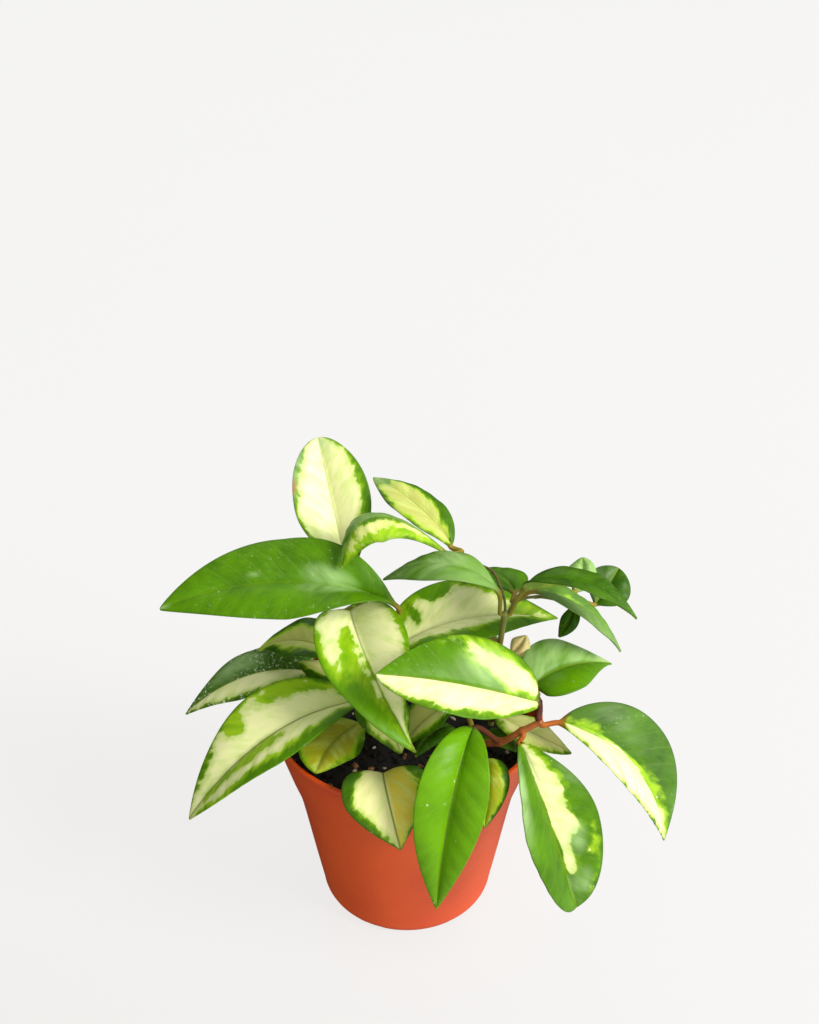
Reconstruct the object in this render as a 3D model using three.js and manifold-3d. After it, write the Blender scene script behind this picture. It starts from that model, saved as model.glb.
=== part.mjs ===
// A young krimson princess hoya, a climbing plant with thick variegated leaves, in a plastic nursery pot.
// Millimetres, +Z up. The origin is the middle of the pot's flat underside; the front of the plant faces -Y.
// Every piece is a closed solid of its own: the pot, the soil, the vines, and each leaf with its stalk.

import * as THREE from "three";
import { mergeVertices } from "three/addons/utils/BufferGeometryUtils.js";
import Module from "manifold-3d";

const wasm = await Module();
wasm.setup();

// Driving dimensions of the pot
const RIM_RADIUS = 49.5;
const POT_HEIGHT = 82.5;
const SHOULDER_RADIUS = 40.4;
const SHOULDER_HEIGHT = 52;
const SHOULDER_STEP = 0.6;
const BASE_RADIUS = 32.5;
const BASE_ROUNDING = 6.5;
const ROUNDING_STEPS = 5;
const LOWER_WALL = { radius: 35.3, height: 22 };
const WALL_STEPS = 6;
const WALL = 1.3;
const FLOOR = 1.6;
const LIP_WIDTH = 1.7;
const LIP_HEIGHT = 1.8;
const LIP_ROUNDING = 0.5;
const POT_SIDES = 48;

// Drain slots cut through the rounded lower edge, with one towards the front right
const DRAIN_COUNT = 6;
const DRAIN_WIDTH = 7;
const DRAIN_HEIGHT = 3;
const DRAIN_START_RADIUS = 25;
const FIRST_DRAIN_ANGLE = -53;

// Soil
const SOIL_TOP = 73.5;
const SOIL_SIDES = 36;
const SOIL_RINGS = 7;
const SOIL_RELIEF = 0.7;
const SOIL_SHRINK = 0.35;
const SEAT_GAP = 0.3;
const STEM_FOOT = 62;
const HOLE_SIDES = 12;
const HOLE_GAP = 0.4;
const HOLE_DEPTH = 30;

// Leaves and vines
const STALK_RADIUS = 1.0;
const STALK_ELBOW = 1.5;
const STALK_BEND = 0.3;
const RIB_THICKNESS = 1.7;
const BLADE_THICKNESS = 1.3;
const EDGE_THICKNESS = 0.8;
const PUFF = 1.2;
const BASE_CHANNEL = 16;
const RING_PLACES = 10;
const STALK_STATIONS = [0, 0.4, 0.8];
const BLADE_STATIONS = [0.035, 0.1, 0.19, 0.3, 0.42, 0.54, 0.66, 0.77, 0.87, 0.95, 1];
const STEM_SIDES = 7;
const STEM_STEPS = 3;

const COLOURS = {
  pot: 0xc65a35,
  soil: 0x1d1511,
  vine: 0x6a6a2a,
  redVine: 0x93492f,
  green: 0x4c8f14,
  cream: 0xe6e9a2,
  yellow: 0xb9b548,
};

const vec = (p) => new THREE.Vector3(p[0], p[1], p[2]);

// Each vine is a list of points that its middle line passes through, from its foot in the soil to its growing
// tip. Leaves stand on the points, which are the vine's joints. The first two points are one above the other.
const VINES = {
  vine_crown: {
    radius: [1.7, 1.2],
    points: [[-8, 13, 62], [-8, 13, 78], [-9, 11, 93], [-9, 9, 105], [-11, 8, 115], [-17, 10, 121]],
  },
  vine_fork: { radius: [1.3, 1.0], points: [[31, 2, 62], [31, 2, 78], [32, -1, 103], [34, -4, 128]] },
  vine_fork_top: {
    radius: [0.7, 0.6], grownFrom: "vine_fork",
    points: [[34, -4, 126], [34, -3, 131], [33, -1, 135], [30, 5, 139.5], [24, 9.5, 140.5], [18.5, 14.5, 141]],
  },
  vine_fork_side: {
    radius: [0.8, 0.65], grownFrom: "vine_fork",
    points: [[34, -4, 125], [38, 2, 129], [46, 8, 127], [55, 13, 122], [64, 18, 116]],
  },
  vine_red: {
    radius: [1.5, 1.1],
    points: [
      [20, -16, 62], [20, -16, 75], [20, -17, 81], [24, -26, 89],
      [32, -32, 94.5], [39, -34, 101], [45, -33, 104],
    ],
  },
  vine_red_top: {
    radius: [0.7, 0.6], grownFrom: "vine_red",
    points: [[44.5, -33, 103], [46.5, -30, 105.6], [46.8, -25, 106.5], [45, -18, 105]],
  },
  vine_left: {
    radius: [1.5, 1.1],
    points: [[-13, -3, 62], [-13, -3, 77], [-14, -5, 84], [-15, -6, 90], [-19, -3, 95], [-24, 3, 98]],
  },
  vine_low: { radius: [1.2, 1.0], points: [[-8, -32, 62], [-8, -32, 74], [-8, -33, 79]] },
  vine_back: {
    radius: [1.6, 1.1],
    points: [[4, 24, 62], [4, 24, 76], [4, 29, 82], [1, 34, 86], [-4, 37, 87]],
  },
};

// Each leaf: the vine and the joint it stands on, then the blade's base, the middle of its rib and its tip.
// left and right: the way from the rib to each edge where the blade is widest, seen on the upper face.
// outline: how far along it is widest, and how full it is towards the base and the tip (less is fuller).
// leftOutline: the same for a left half that differs. channel: the fold at the base, in degrees.
const LEAVES = [
  {
    name: "leaf_top_upright", on: ["vine_crown", 5], colour: "cream",
    base: [-20, 17, 127], rib: [-26, 31, 148], tip: [-32, 45, 171],
    left: [-13, -6, 2], right: [14, -2, 3], outline: [0.58, 0.85, 0.5],
  },
  {
    name: "leaf_top_right", on: ["vine_fork_top", 5], colour: "cream",
    base: [15.5, 18.5, 141.5], rib: [5, 28, 151], tip: [-12, 42, 156],
    left: [-7.8, -10, 4.6], right: [5, 7, 1], outline: [0.5, 0.7, 0.8],
  },
  {
    name: "leaf_top_arched", on: ["vine_fork_top", 5], colour: "green",
    base: [13, 11, 144], rib: [-11, 7, 160.5], tip: [-22, -3, 146.5],
    left: [0, -11, -3], right: [0, 9.5, -5.5], outline: [0.52, 0.7, 0.75],
  },
  {
    name: "leaf_left_long", on: ["vine_crown", 4], colour: "green",
    base: [-4, -3, 131], rib: [-42, -6, 142.5], tip: [-83, -14, 137],
    left: [1, -16, -4], right: [-2, 15, 8], outline: [0.45, 1.1, 0.8],
    leftOutline: [0.45, 0.75, 0.8],
    channel: 56,
  },
  {
    name: "leaf_front_hanging", on: ["vine_crown", 5], colour: "cream",
    base: [-20, 4, 124], rib: [-11, -26, 118], tip: [3, -45, 101],
    left: [15, 1, 7], right: [-14, -9, 3], outline: [0.36, 0.5, 0.95],
    leftOutline: [0.34, 0.5, 1.8],
    channel: 0,
  },
  {
    name: "leaf_centre", on: ["vine_red", 6], colour: "cream",
    base: [43, -30.5, 110], rib: [17, -38, 124], tip: [-10, -42, 131],
    left: [2, -14.5, -2], right: [1, 15, 9], outline: [0.42, 0.55, 0.95],
    leftOutline: [0.52, 0.6, 0.62],
  },
  {
    name: "leaf_behind_centre", on: ["vine_crown", 3], colour: "cream",
    base: [-3, 9, 104], rib: [22, 17, 111], tip: [56, 26, 105],
    left: [-5, 12, 9], right: [4, -14, 1], outline: [0.42, 0.5, 0.95],
  },
  {
    name: "leaf_fork_left", on: ["vine_fork", 3], colour: "green",
    base: [31, -6, 139], rib: [13, -3, 148], tip: [-8, 4, 137],
    left: [-4, -11, 1], right: [4, 11, -2], outline: [0.5, 0.9, 0.85],
  },
  {
    name: "leaf_fork_right", on: ["vine_fork", 3], colour: "green",
    base: [41, -6, 140], rib: [60, -12, 145], tip: [77, -18, 136],
    left: [3, 9.5, -0.5], right: [-3, -11, 6], outline: [0.42, 0.5, 0.95],
  },
  {
    name: "leaf_right_under", on: ["vine_fork_side", 1], colour: "green",
    base: [44, 1, 134], rib: [62, 3, 125], tip: [76, 0, 109],
    left: [2, 10, -3], right: [1, -11, 2], outline: [0.45, 0.65, 0.95],
  },
  {
    name: "leaf_fork_behind", on: ["vine_fork_side", 1], colour: "green",
    base: [38, 9, 128], rib: [33, 19, 128], tip: [25, 30, 124],
    left: [-7, -5, 2], right: [8, 5, -1], outline: [0.45, 0.65, 0.9],
  },
  {
    name: "leaf_right_young", on: ["vine_fork_side", 3], colour: "green",
    base: [61, 19, 122], rib: [64, 25, 125], tip: [64, 29, 130],
    left: [-6, 1, 0], right: [5, 0, 0], outline: [0.5, 0.65, 0.6],
  },
  {
    name: "leaf_right_round", on: ["vine_fork_side", 4], colour: "green",
    base: [69, 21, 115], rib: [73, 25, 119], tip: [78, 31, 124],
    left: [-6, 3, 4], right: [7, -4, -3], outline: [0.55, 0.65, 0.5],
  },
  {
    name: "leaf_right_bud", on: ["vine_fork_side", 3], colour: "green",
    base: [60, 10, 121], rib: [58, 8, 116], tip: [54.5, 6, 111],
    left: [3, -1, 0], right: [-3, 0, 1], outline: [0.45, 0.65, 0.9], channel: 4,
  },
  {
    name: "leaf_right_middle", on: ["vine_red_top", 3], colour: "green",
    base: [44.3, -12.5, 103], rib: [57, -5, 106], tip: [74, 6, 99],
    left: [-4, 12, 4], right: [4, -13, 0], outline: [0.3, 0.5, 1.1],
    leftOutline: [0.4, 0.55, 0.95],
  },
  {
    name: "leaf_faded", on: ["vine_fork", 2], colour: "yellow",
    base: [37.4, 1, 107.5], rib: [40.4, 1, 110.5], tip: [42.4, 2, 114.5],
    left: [-3, 2, 1], right: [3, -2, 0], outline: [0.5, 0.65, 0.7],
  },
  {
    name: "leaf_right_drooping", on: ["vine_red", 6], colour: "cream",
    base: [52, -31, 102], rib: [77, -35, 87], tip: [90, -40, 57],
    left: [11, 12, 6], right: [-3, -14, 1], outline: [0.5, 0.65, 0.9],
  },
  {
    name: "leaf_right_hanging", on: ["vine_red", 5], colour: "green",
    base: [38, -38, 96], rib: [46.5, -52, 80.5], tip: [58.5, -56, 41],
    left: [16, 4, 3], right: [-8, -10, 2], outline: [0.6, 0.75, 0.45],
  },
  {
    name: "leaf_front_green", on: ["vine_red", 4], colour: "green",
    base: [22, -39, 106], rib: [15, -59, 93], tip: [10, -67, 52],
    left: [11, -4, 2], right: [-12, -3, 3], outline: [0.5, 0.7, 0.9],
  },
  {
    name: "leaf_front_heart", on: ["vine_low", 2], colour: "cream",
    base: [-8, -37, 84], rib: [-6, -52, 86], tip: [-2, -58, 70],
    left: [15, 1, 0], right: [-15, -1, 1], outline: [0.38, 0.42, 0.9],
  },
  {
    name: "leaf_soil_left", on: ["vine_left", 1], colour: "yellow",
    base: [-17, -9, 83], rib: [-26, -22, 85], tip: [-31, -36, 84],
    left: [8, -8, 1], right: [-9, 8, 1], outline: [0.5, 0.65, 0.7],
  },
  {
    name: "leaf_left_low", on: ["vine_left", 2], colour: "cream",
    base: [-19, -12, 95], rib: [-48, -26, 91], tip: [-76, -36, 63],
    left: [6, -14, 2], right: [-9, 12, 7], outline: [0.45, 0.65, 0.85],
  },
  {
    name: "leaf_left_dark", on: ["vine_left", 5], colour: "green",
    base: [-31, 8, 92], rib: [-56, 6, 94], tip: [-81, 2, 79],
    left: [2, -13, 1], right: [-3, 13, 1], outline: [0.45, 0.65, 0.9],
  },
  {
    name: "leaf_left_upper", on: ["vine_left", 5], colour: "green",
    base: [-27, 4, 105], rib: [-40, 10, 106], tip: [-55, 15, 98],
    left: [-5, -10, 2], right: [5, 10, 3], outline: [0.45, 0.65, 0.9],
  },
  {
    name: "leaf_left_narrow", on: ["vine_left", 4], colour: "cream",
    base: [-23, -6, 98], rib: [-31, -2, 101], tip: [-39, 3, 102],
    left: [-2, -5, 1], right: [1, 5, 0], outline: [0.45, 0.65, 0.9],
  },
  {
    name: "leaf_under_hanging", on: ["vine_left", 3], colour: "cream",
    base: [-13, -15, 98], rib: [-8, -23, 99], tip: [-2, -34, 91],
    left: [8, 5, 1], right: [-8, -5, 0], outline: [0.45, 0.65, 0.8],
  },
  {
    name: "leaf_middle_olive", on: ["vine_red", 3], colour: "yellow",
    base: [18, -17, 98], rib: [8, -20, 95], tip: [-1, -27, 88],
    left: [3, -7, 2], right: [-4, 9, 1], outline: [0.45, 0.65, 0.8],
  },
  {
    name: "leaf_middle_dark", on: ["vine_red", 2], colour: "green",
    base: [16, -19, 89], rib: [10, -24, 91], tip: [3, -31, 87],
    left: [2, -5, 1], right: [-3, 5, 0], outline: [0.45, 0.65, 0.9],
  },
  {
    name: "leaf_right_tucked", on: ["vine_red", 2], colour: "green",
    base: [27, -17, 84], rib: [32, -21, 87], tip: [38, -27, 86],
    left: [3, 4, 0], right: [-3, -4, 1], outline: [0.45, 0.65, 0.8],
  },
  {
    name: "leaf_rim_olive", on: ["vine_red", 3], colour: "yellow",
    base: [27, -38, 91], rib: [27, -49, 90], tip: [26, -54, 76],
    left: [7, 0, 1], right: [-6, -3, 3], outline: [0.42, 0.6, 0.8],
  },
  {
    name: "leaf_rim_right", on: ["vine_fork", 1], colour: "yellow",
    base: [33, -13, 89], rib: [44, -24, 91], tip: [57, -28, 86],
    left: [2, 9, -1], right: [-3, -7, 1], outline: [0.45, 0.6, 0.85],
  },
  {
    name: "leaf_back_left", on: ["vine_back", 4], colour: "cream",
    base: [-10, 38, 87], rib: [-27, 47, 86], tip: [-45, 55, 62],
    left: [-5, -12, 2], right: [5, 12, 2], outline: [0.45, 0.65, 0.9],
  },
  {
    name: "leaf_back_middle", on: ["vine_back", 4], colour: "cream",
    base: [-1, 42, 87], rib: [-4, 58, 81], tip: [-7, 67, 52],
    left: [-13, -1, 1], right: [12, 1, 1], outline: [0.45, 0.65, 0.85],
  },
  {
    name: "leaf_back_right", on: ["vine_back", 2], colour: "green",
    base: [9, 34, 84], rib: [24, 47, 86], tip: [37, 56, 66],
    left: [-7, 8, 1], right: [10, -8, 1], outline: [0.45, 0.65, 0.9],
  },
  {
    name: "leaf_back_low", on: ["vine_back", 1], colour: "green",
    base: [-2, 25, 82], rib: [-15, 27, 87], tip: [-31, 29, 85],
    left: [-4, -9, 1], right: [3, 6, 0], outline: [0.45, 0.65, 0.85],
  },
  {
    name: "leaf_back_side", on: ["vine_fork", 1], colour: "cream",
    base: [36, 7, 83], rib: [46, 18, 88], tip: [56, 31, 76],
    left: [-6, 8, 1], right: [7, -8, 1], outline: [0.45, 0.65, 0.9],
  },
];

// A closed skin over rings of points, each ring with the same count, with a flat cap at both ends.
function skin(rings) {
  const count = rings[0].length;
  const corners = rings.flat();
  const faces = [];
  for (let ring = 0; ring < rings.length - 1; ring += 1) {
    for (let i = 0; i < count; i += 1) {
      const here = ring * count + i;
      const next = ring * count + ((i + 1) % count);
      faces.push(here, next, next + count, here, next + count, here + count);
    }
  }
  const last = (rings.length - 1) * count;
  for (let i = 1; i < count - 1; i += 1) {
    faces.push(0, i + 1, i);
    faces.push(last, last + i, last + i + 1);
  }
  const geometry = new THREE.BufferGeometry();
  const numbers = corners.flatMap((p) => [p.x, p.y, p.z]);
  geometry.setAttribute("position", new THREE.Float32BufferAttribute(numbers, 3));
  geometry.setIndex(faces);
  return geometry;
}

function toSolid(geometry) {
  const bare = geometry.clone();
  bare.deleteAttribute("normal");
  bare.deleteAttribute("uv");
  const merged = mergeVertices(bare, 1e-4);
  return new wasm.Manifold(new wasm.Mesh({
    numProp: 3,
    vertProperties: new Float32Array(merged.attributes.position.array),
    triVerts: new Uint32Array(merged.index.array),
  }));
}

function toGeometry(solid) {
  const mesh = solid.getMesh();
  const geometry = new THREE.BufferGeometry();
  geometry.setAttribute("position", new THREE.Float32BufferAttribute(mesh.vertProperties, 3));
  geometry.setIndex(Array.from(mesh.triVerts));
  return geometry;
}

// A round stem along a smooth curve, its radius running from the first value to the last.
function stem({ points, radius }, grow = 0) {
  const curve = new THREE.CatmullRomCurve3(points.map(vec), false, "catmullrom", 0.5);
  const steps = (points.length - 1) * STEM_STEPS;
  const frames = curve.computeFrenetFrames(steps, false);
  const rings = [];
  for (let step = 0; step <= steps; step += 1) {
    const along = step / steps;
    const size = THREE.MathUtils.lerp(radius[0], radius[1], along) + grow;
    const middle = curve.getPoint(along);
    const across = new THREE.Vector3().crossVectors(frames.tangents[step], frames.normals[step]);
    rings.push(Array.from({ length: STEM_SIDES }, (_, i) => {
      const angle = (i / STEM_SIDES) * 2 * Math.PI;
      return middle.clone()
        .addScaledVector(frames.normals[step], size * Math.cos(angle))
        .addScaledVector(across, size * Math.sin(angle));
    }));
  }
  return skin(rings);
}

// How wide the blade is at a place along it, as a share of its widest.
function outlineWidth(along, [widest, towardBase, towardTip]) {
  const bend = Math.log(0.5) / Math.log(widest);
  const swell = Math.max(Math.sin(Math.PI * along ** bend), 0);
  return swell ** (along < widest ? towardBase : towardTip);
}

// A point of the rib, on the curve through base, middle and tip, and the rib's direction there.
function ribPoint({ base, rib, tip }, s) {
  return vec(base).multiplyScalar((1 - s) * (1 - 2 * s))
    .addScaledVector(vec(rib), 4 * s * (1 - s))
    .addScaledVector(vec(tip), s * (2 * s - 1));
}

function ribDirection({ base, rib, tip }, s) {
  return vec(base).multiplyScalar(4 * s - 3)
    .addScaledVector(vec(rib), 4 - 8 * s)
    .addScaledVector(vec(tip), 4 * s - 1)
    .normalize();
}

// Towards its base the blade folds up along the rib, like a channel.
function baseChannel(leaf, s) {
  const fade = Math.max(1 - 2 * s, 0) ** 1.3;
  return -THREE.MathUtils.degToRad(leaf.channel ?? BASE_CHANNEL) * fade;
}

// One cross-section of the blade: five places from the left edge to the right one on the upper face,
// then the same five back on the under face. The blade keeps its fold along the rib as the rib bends.
function bladeRing(leaf, s) {
  const middleDirection = ribDirection(leaf, 0.5);
  const direction = ribDirection(leaf, s);
  const bend = new THREE.Quaternion().setFromUnitVectors(middleDirection, direction);
  const middle = ribPoint(leaf, s);
  const rightWidth = outlineWidth(s, leaf.outline);
  const leftWidth = outlineWidth(s, leaf.leftOutline ?? leaf.outline);
  const [left, right] = [leaf.left, leaf.right].map((side, index) => {
    const across = vec(side);
    across.addScaledVector(middleDirection, -across.dot(middleDirection));
    const raise = baseChannel(leaf, s) * (index === 0 ? -1 : 1);
    return across.applyQuaternion(bend).applyAxisAngle(direction, raise);
  });
  const leftUp = new THREE.Vector3().crossVectors(direction, left).normalize();
  const rightUp = new THREE.Vector3().crossVectors(right, direction).normalize();
  const ribUp = leftUp.clone().add(rightUp).normalize();
  const places = [
    [left, 1, leftUp, leftWidth], [left, 0.5, leftUp, leftWidth], [left, 0, ribUp, leftWidth],
    [right, 0.5, rightUp, rightWidth], [right, 1, rightUp, rightWidth],
  ];
  const upper = [];
  const under = [];
  for (const [across, share, up, width] of places) {
    const reach = Math.max(width * across.length(), STALK_RADIUS * 0.5);
    const puff = PUFF * 4 * share * (1 - share) * width;
    const thickness = [RIB_THICKNESS, BLADE_THICKNESS, EDGE_THICKNESS][Math.round(share * 2)];
    const point = middle.clone()
      .addScaledVector(across.clone().normalize(), reach * share)
      .addScaledVector(up, puff);
    upper.push(point.clone().addScaledVector(up, thickness / 2));
    under.unshift(point.clone().addScaledVector(up, -thickness / 2));
  }
  return upper.concat(under);
}

// The stalk's rings line up with the blade's: the same ten places, closed up to a round section.
function stalkRing(middle, direction, right, radius) {
  const up = new THREE.Vector3().crossVectors(right, direction).normalize();
  const across = new THREE.Vector3().crossVectors(direction, up).normalize();
  return Array.from({ length: RING_PLACES }, (_, i) => {
    const angle = Math.PI * (0.9 - (2 * i) / RING_PLACES);
    return middle.clone()
      .addScaledVector(across, radius * Math.cos(angle))
      .addScaledVector(up, radius * Math.sin(angle));
  });
}

// A leaf with its stalk. The stalk leaves the vine square to it, a hair clear of its skin.
function leafGeometry(leaf) {
  const [vineName, joint] = leaf.on;
  const vine = VINES[vineName];
  const curve = new THREE.CatmullRomCurve3(vine.points.map(vec), false, "catmullrom", 0.5);
  const along = joint / (vine.points.length - 1);
  const vineDirection = curve.getTangent(along);
  const foot = vec(vine.points[joint]);
  const base = vec(leaf.base);
  const away = base.clone().sub(foot);
  away.addScaledVector(vineDirection, -away.dot(vineDirection)).normalize();
  const vineRadius = THREE.MathUtils.lerp(vine.radius[0], vine.radius[1], along);
  const start = foot.addScaledVector(away, vineRadius + SEAT_GAP);
  const heading = ribDirection(leaf, 0);
  const reach = start.distanceTo(base) * STALK_BEND;
  const stalk = new THREE.CubicBezierCurve3(
    start,
    start.clone().addScaledVector(away, Math.min(STALK_ELBOW, reach)),
    base.clone().addScaledVector(heading, -reach),
    base,
  );
  const right = vec(leaf.right).sub(vec(leaf.left));
  const rings = STALK_STATIONS.map((place) => stalkRing(
    stalk.getPoint(place), stalk.getTangent(place), right, STALK_RADIUS,
  ));
  for (const place of BLADE_STATIONS) {
    rings.push(bladeRing(leaf, place));
  }
  return skin(rings);
}

// The pot: a thin wall that tapers to a shoulder and then flares to the rim, with a rolled lip, a flat floor
// and a rounded lower edge.
function potGeometry() {
  const profile = [new THREE.Vector2(0, 0)];
  for (let step = 0; step <= ROUNDING_STEPS; step += 1) {
    const angle = (step / ROUNDING_STEPS) * (Math.PI / 2);
    profile.push(new THREE.Vector2(
      BASE_RADIUS - BASE_ROUNDING + BASE_ROUNDING * Math.sin(angle),
      BASE_ROUNDING - BASE_ROUNDING * Math.cos(angle),
    ));
  }
  const wall = new THREE.CatmullRomCurve3([
    new THREE.Vector3(LOWER_WALL.radius, LOWER_WALL.height, 0),
    new THREE.Vector3(SHOULDER_RADIUS - 1.3, SHOULDER_HEIGHT - 8, 0),
    new THREE.Vector3(SHOULDER_RADIUS + SHOULDER_STEP, SHOULDER_HEIGHT + 1, 0),
    new THREE.Vector3(SHOULDER_RADIUS + 3.4, SHOULDER_HEIGHT + 10, 0),
    new THREE.Vector3(RIM_RADIUS - LIP_WIDTH + WALL, POT_HEIGHT - LIP_HEIGHT, 0),
  ]);
  const outside = wall.getPoints(WALL_STEPS).map((p) => new THREE.Vector2(p.x, p.y));
  const inside = outside.map((p) => new THREE.Vector2(p.x - WALL, p.y)).reverse();
  profile.push(...outside);
  profile.push(new THREE.Vector2(RIM_RADIUS, POT_HEIGHT - LIP_HEIGHT + 0.3));
  profile.push(new THREE.Vector2(RIM_RADIUS, POT_HEIGHT - LIP_ROUNDING));
  profile.push(new THREE.Vector2(RIM_RADIUS - LIP_ROUNDING, POT_HEIGHT));
  profile.push(new THREE.Vector2(RIM_RADIUS - LIP_WIDTH, POT_HEIGHT));
  profile.push(...inside);
  profile.push(new THREE.Vector2(BASE_RADIUS - WALL, BASE_ROUNDING));
  profile.push(new THREE.Vector2(BASE_RADIUS - WALL - 3, FLOOR + 0.9));
  profile.push(new THREE.Vector2(BASE_RADIUS - BASE_ROUNDING, FLOOR));
  profile.push(new THREE.Vector2(0, FLOOR));
  const body = new THREE.LatheGeometry(profile, POT_SIDES);
  body.rotateX(Math.PI / 2);
  let pot = toSolid(body);
  for (let drain = 0; drain < DRAIN_COUNT; drain += 1) {
    const length = BASE_RADIUS - DRAIN_START_RADIUS + 4;
    const slot = new THREE.BoxGeometry(length, DRAIN_WIDTH, DRAIN_HEIGHT * 2);
    slot.translate(DRAIN_START_RADIUS + length / 2, 0, 0);
    slot.rotateZ(THREE.MathUtils.degToRad(FIRST_DRAIN_ANGLE + (drain * 360) / DRAIN_COUNT));
    pot = pot.subtract(toSolid(slot));
  }
  return toGeometry(pot);
}

// The inside radius of the pot at a height, for the soil that fills it.
function insideRadius(height) {
  if (height < BASE_ROUNDING) {
    return BASE_RADIUS - BASE_ROUNDING;
  }
  const lower = (height - BASE_ROUNDING) / (SHOULDER_HEIGHT - BASE_ROUNDING);
  const upper = (height - SHOULDER_HEIGHT) / (POT_HEIGHT - SHOULDER_HEIGHT);
  const outside = height < SHOULDER_HEIGHT
    ? THREE.MathUtils.lerp(BASE_RADIUS, SHOULDER_RADIUS, lower)
    : THREE.MathUtils.lerp(SHOULDER_RADIUS, RIM_RADIUS - 0.4, upper);
  return outside - WALL;
}

// The soil: a plug with an uneven top, and a plain hole round the foot of each vine.
function soilGeometry() {
  const ring = (radius, height) => Array.from({ length: SOIL_SIDES }, (_, i) => {
    const angle = (i / SOIL_SIDES) * 2 * Math.PI;
    return new THREE.Vector3(radius * Math.cos(angle), radius * Math.sin(angle), height);
  });
  const slack = SEAT_GAP + SOIL_SHRINK;
  const rings = [];
  const heights = [FLOOR + SEAT_GAP, BASE_ROUNDING + 1, 30, SHOULDER_HEIGHT, SHOULDER_HEIGHT + 10, SOIL_TOP];
  for (const height of heights) {
    rings.push(ring(insideRadius(height) - slack, height));
  }
  const edge = insideRadius(SOIL_TOP) - slack;
  for (let step = SOIL_RINGS - 1; step >= 1; step -= 1) {
    const radius = (edge * step) / SOIL_RINGS;
    rings.push(ring(radius, SOIL_TOP).map((p) => {
      const bumps = Math.sin(p.x * 0.61 + 1.3) * Math.cos(p.y * 0.53) + Math.sin(p.x * 1.27 - p.y * 0.94);
      return p.setZ(SOIL_TOP + SOIL_RELIEF * (0.6 + 0.5 * bumps));
    }));
  }
  let soil = toSolid(skin(rings));
  for (const vine of Object.values(VINES)) {
    if (vine.grownFrom) {
      continue;
    }
    const [x, y] = vine.points[0];
    const radius = vine.radius[0] + HOLE_GAP;
    const hole = new THREE.CylinderGeometry(radius, radius, HOLE_DEPTH, HOLE_SIDES);
    hole.rotateX(Math.PI / 2);
    hole.translate(x, y, STEM_FOOT - SEAT_GAP + HOLE_DEPTH / 2);
    soil = soil.subtract(toSolid(hole));
  }
  return toGeometry(soil);
}

// A vine with the thinner shoots that grow out of it, as one body.
function vineGeometry(name) {
  let body = toSolid(stem(VINES[name]));
  for (const shoot of Object.values(VINES)) {
    if (shoot.grownFrom === name) {
      body = body.add(toSolid(stem(shoot)));
    }
  }
  return toGeometry(body);
}

function piece(name, geometry, colour, roughness) {
  const material = new THREE.MeshStandardMaterial({ color: colour, roughness, metalness: 0 });
  const mesh = new THREE.Mesh(geometry, material);
  mesh.name = name;
  return mesh;
}

const group = new THREE.Group();
group.add(piece("pot", potGeometry(), COLOURS.pot, 0.5));
group.add(piece("soil", soilGeometry(), COLOURS.soil, 0.95));
for (const [name, vine] of Object.entries(VINES)) {
  if (!vine.grownFrom) {
    group.add(piece(name, vineGeometry(name), name === "vine_red" ? COLOURS.redVine : COLOURS.vine, 0.6));
  }
}
for (const leaf of LEAVES) {
  group.add(piece(leaf.name, leafGeometry(leaf), COLOURS[leaf.colour], 0.35));
}

export default group;
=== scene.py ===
# %% [markdown]
# # A potted krimson princess hoya
#
# This lesson dresses a small houseplant: a young climbing hoya with thick, waxy, cream-and-green leaves
# in a terracotta-coloured nursery pot. The CAD model already holds the right sizes and places. Here each
# leaf gets its fine surface and its markings, the pot its moulded finish, and the soil its crumbs.

# %% The frame and the tools of this lesson
import math

import bpy
import numpy as np
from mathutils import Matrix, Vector


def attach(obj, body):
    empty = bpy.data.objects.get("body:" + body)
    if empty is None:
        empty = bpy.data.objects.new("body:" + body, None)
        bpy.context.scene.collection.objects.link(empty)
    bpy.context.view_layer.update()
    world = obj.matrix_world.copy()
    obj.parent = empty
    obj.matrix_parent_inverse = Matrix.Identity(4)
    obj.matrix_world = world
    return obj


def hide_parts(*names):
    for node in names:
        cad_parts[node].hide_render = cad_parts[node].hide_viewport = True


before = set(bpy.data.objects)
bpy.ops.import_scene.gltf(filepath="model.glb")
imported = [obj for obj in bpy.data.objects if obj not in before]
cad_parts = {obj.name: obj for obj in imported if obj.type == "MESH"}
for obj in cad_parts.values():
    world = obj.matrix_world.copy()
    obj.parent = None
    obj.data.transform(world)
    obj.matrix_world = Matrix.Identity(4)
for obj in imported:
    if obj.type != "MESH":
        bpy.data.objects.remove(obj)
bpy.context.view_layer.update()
MM = 0.001
print("CAD nodes:", len(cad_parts))

# %% [markdown]
# ## Colour and nodes
#
# Blender mixes light in linear values, and a colour picked by eye is an sRGB hex value. One function
# turns the first into the second, so that every colour below reads as the eye sees it. A second one
# adds a shader node with its settings and its links in one call. It fills the sockets that the node
# shows, in their order, and hands back an output, so that a material reads like a recipe: each line
# takes what stands above it and adds one step.

# %% Small helpers for materials
def linear(hex_colour):
    channels = [int(hex_colour[i:i + 2], 16) / 255 for i in (1, 3, 5)]
    values = [c / 12.92 if c <= 0.04045 else ((c + 0.055) / 1.055) ** 2.4 for c in channels]
    return (*values, 1.0)


def add(tree, kind, inputs=(), output=None, **settings):
    """Adds a node and returns an output. inputs are a list in the sockets' order, or go by their names."""
    node = tree.nodes.new(kind)
    for name, value in settings.items():
        setattr(node, name, value)
    shown = [socket for socket in node.inputs if socket.enabled]
    named = isinstance(inputs, dict)
    for key, value in inputs.items() if named else zip(shown, inputs):
        socket = node.inputs[key] if named else key
        if isinstance(value, bpy.types.NodeSocket):
            tree.links.new(value, socket)
        else:
            socket.default_value = linear(value) if isinstance(value, str) else value
    return node.outputs[output] if output else next((o for o in node.outputs if o.enabled), None)


def scale_for(size_mm):
    """The scale, to two digits, of a pattern with lumps of that size, where places are in millimetres."""
    return float(f"{1 / size_mm:.2g}")


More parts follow.
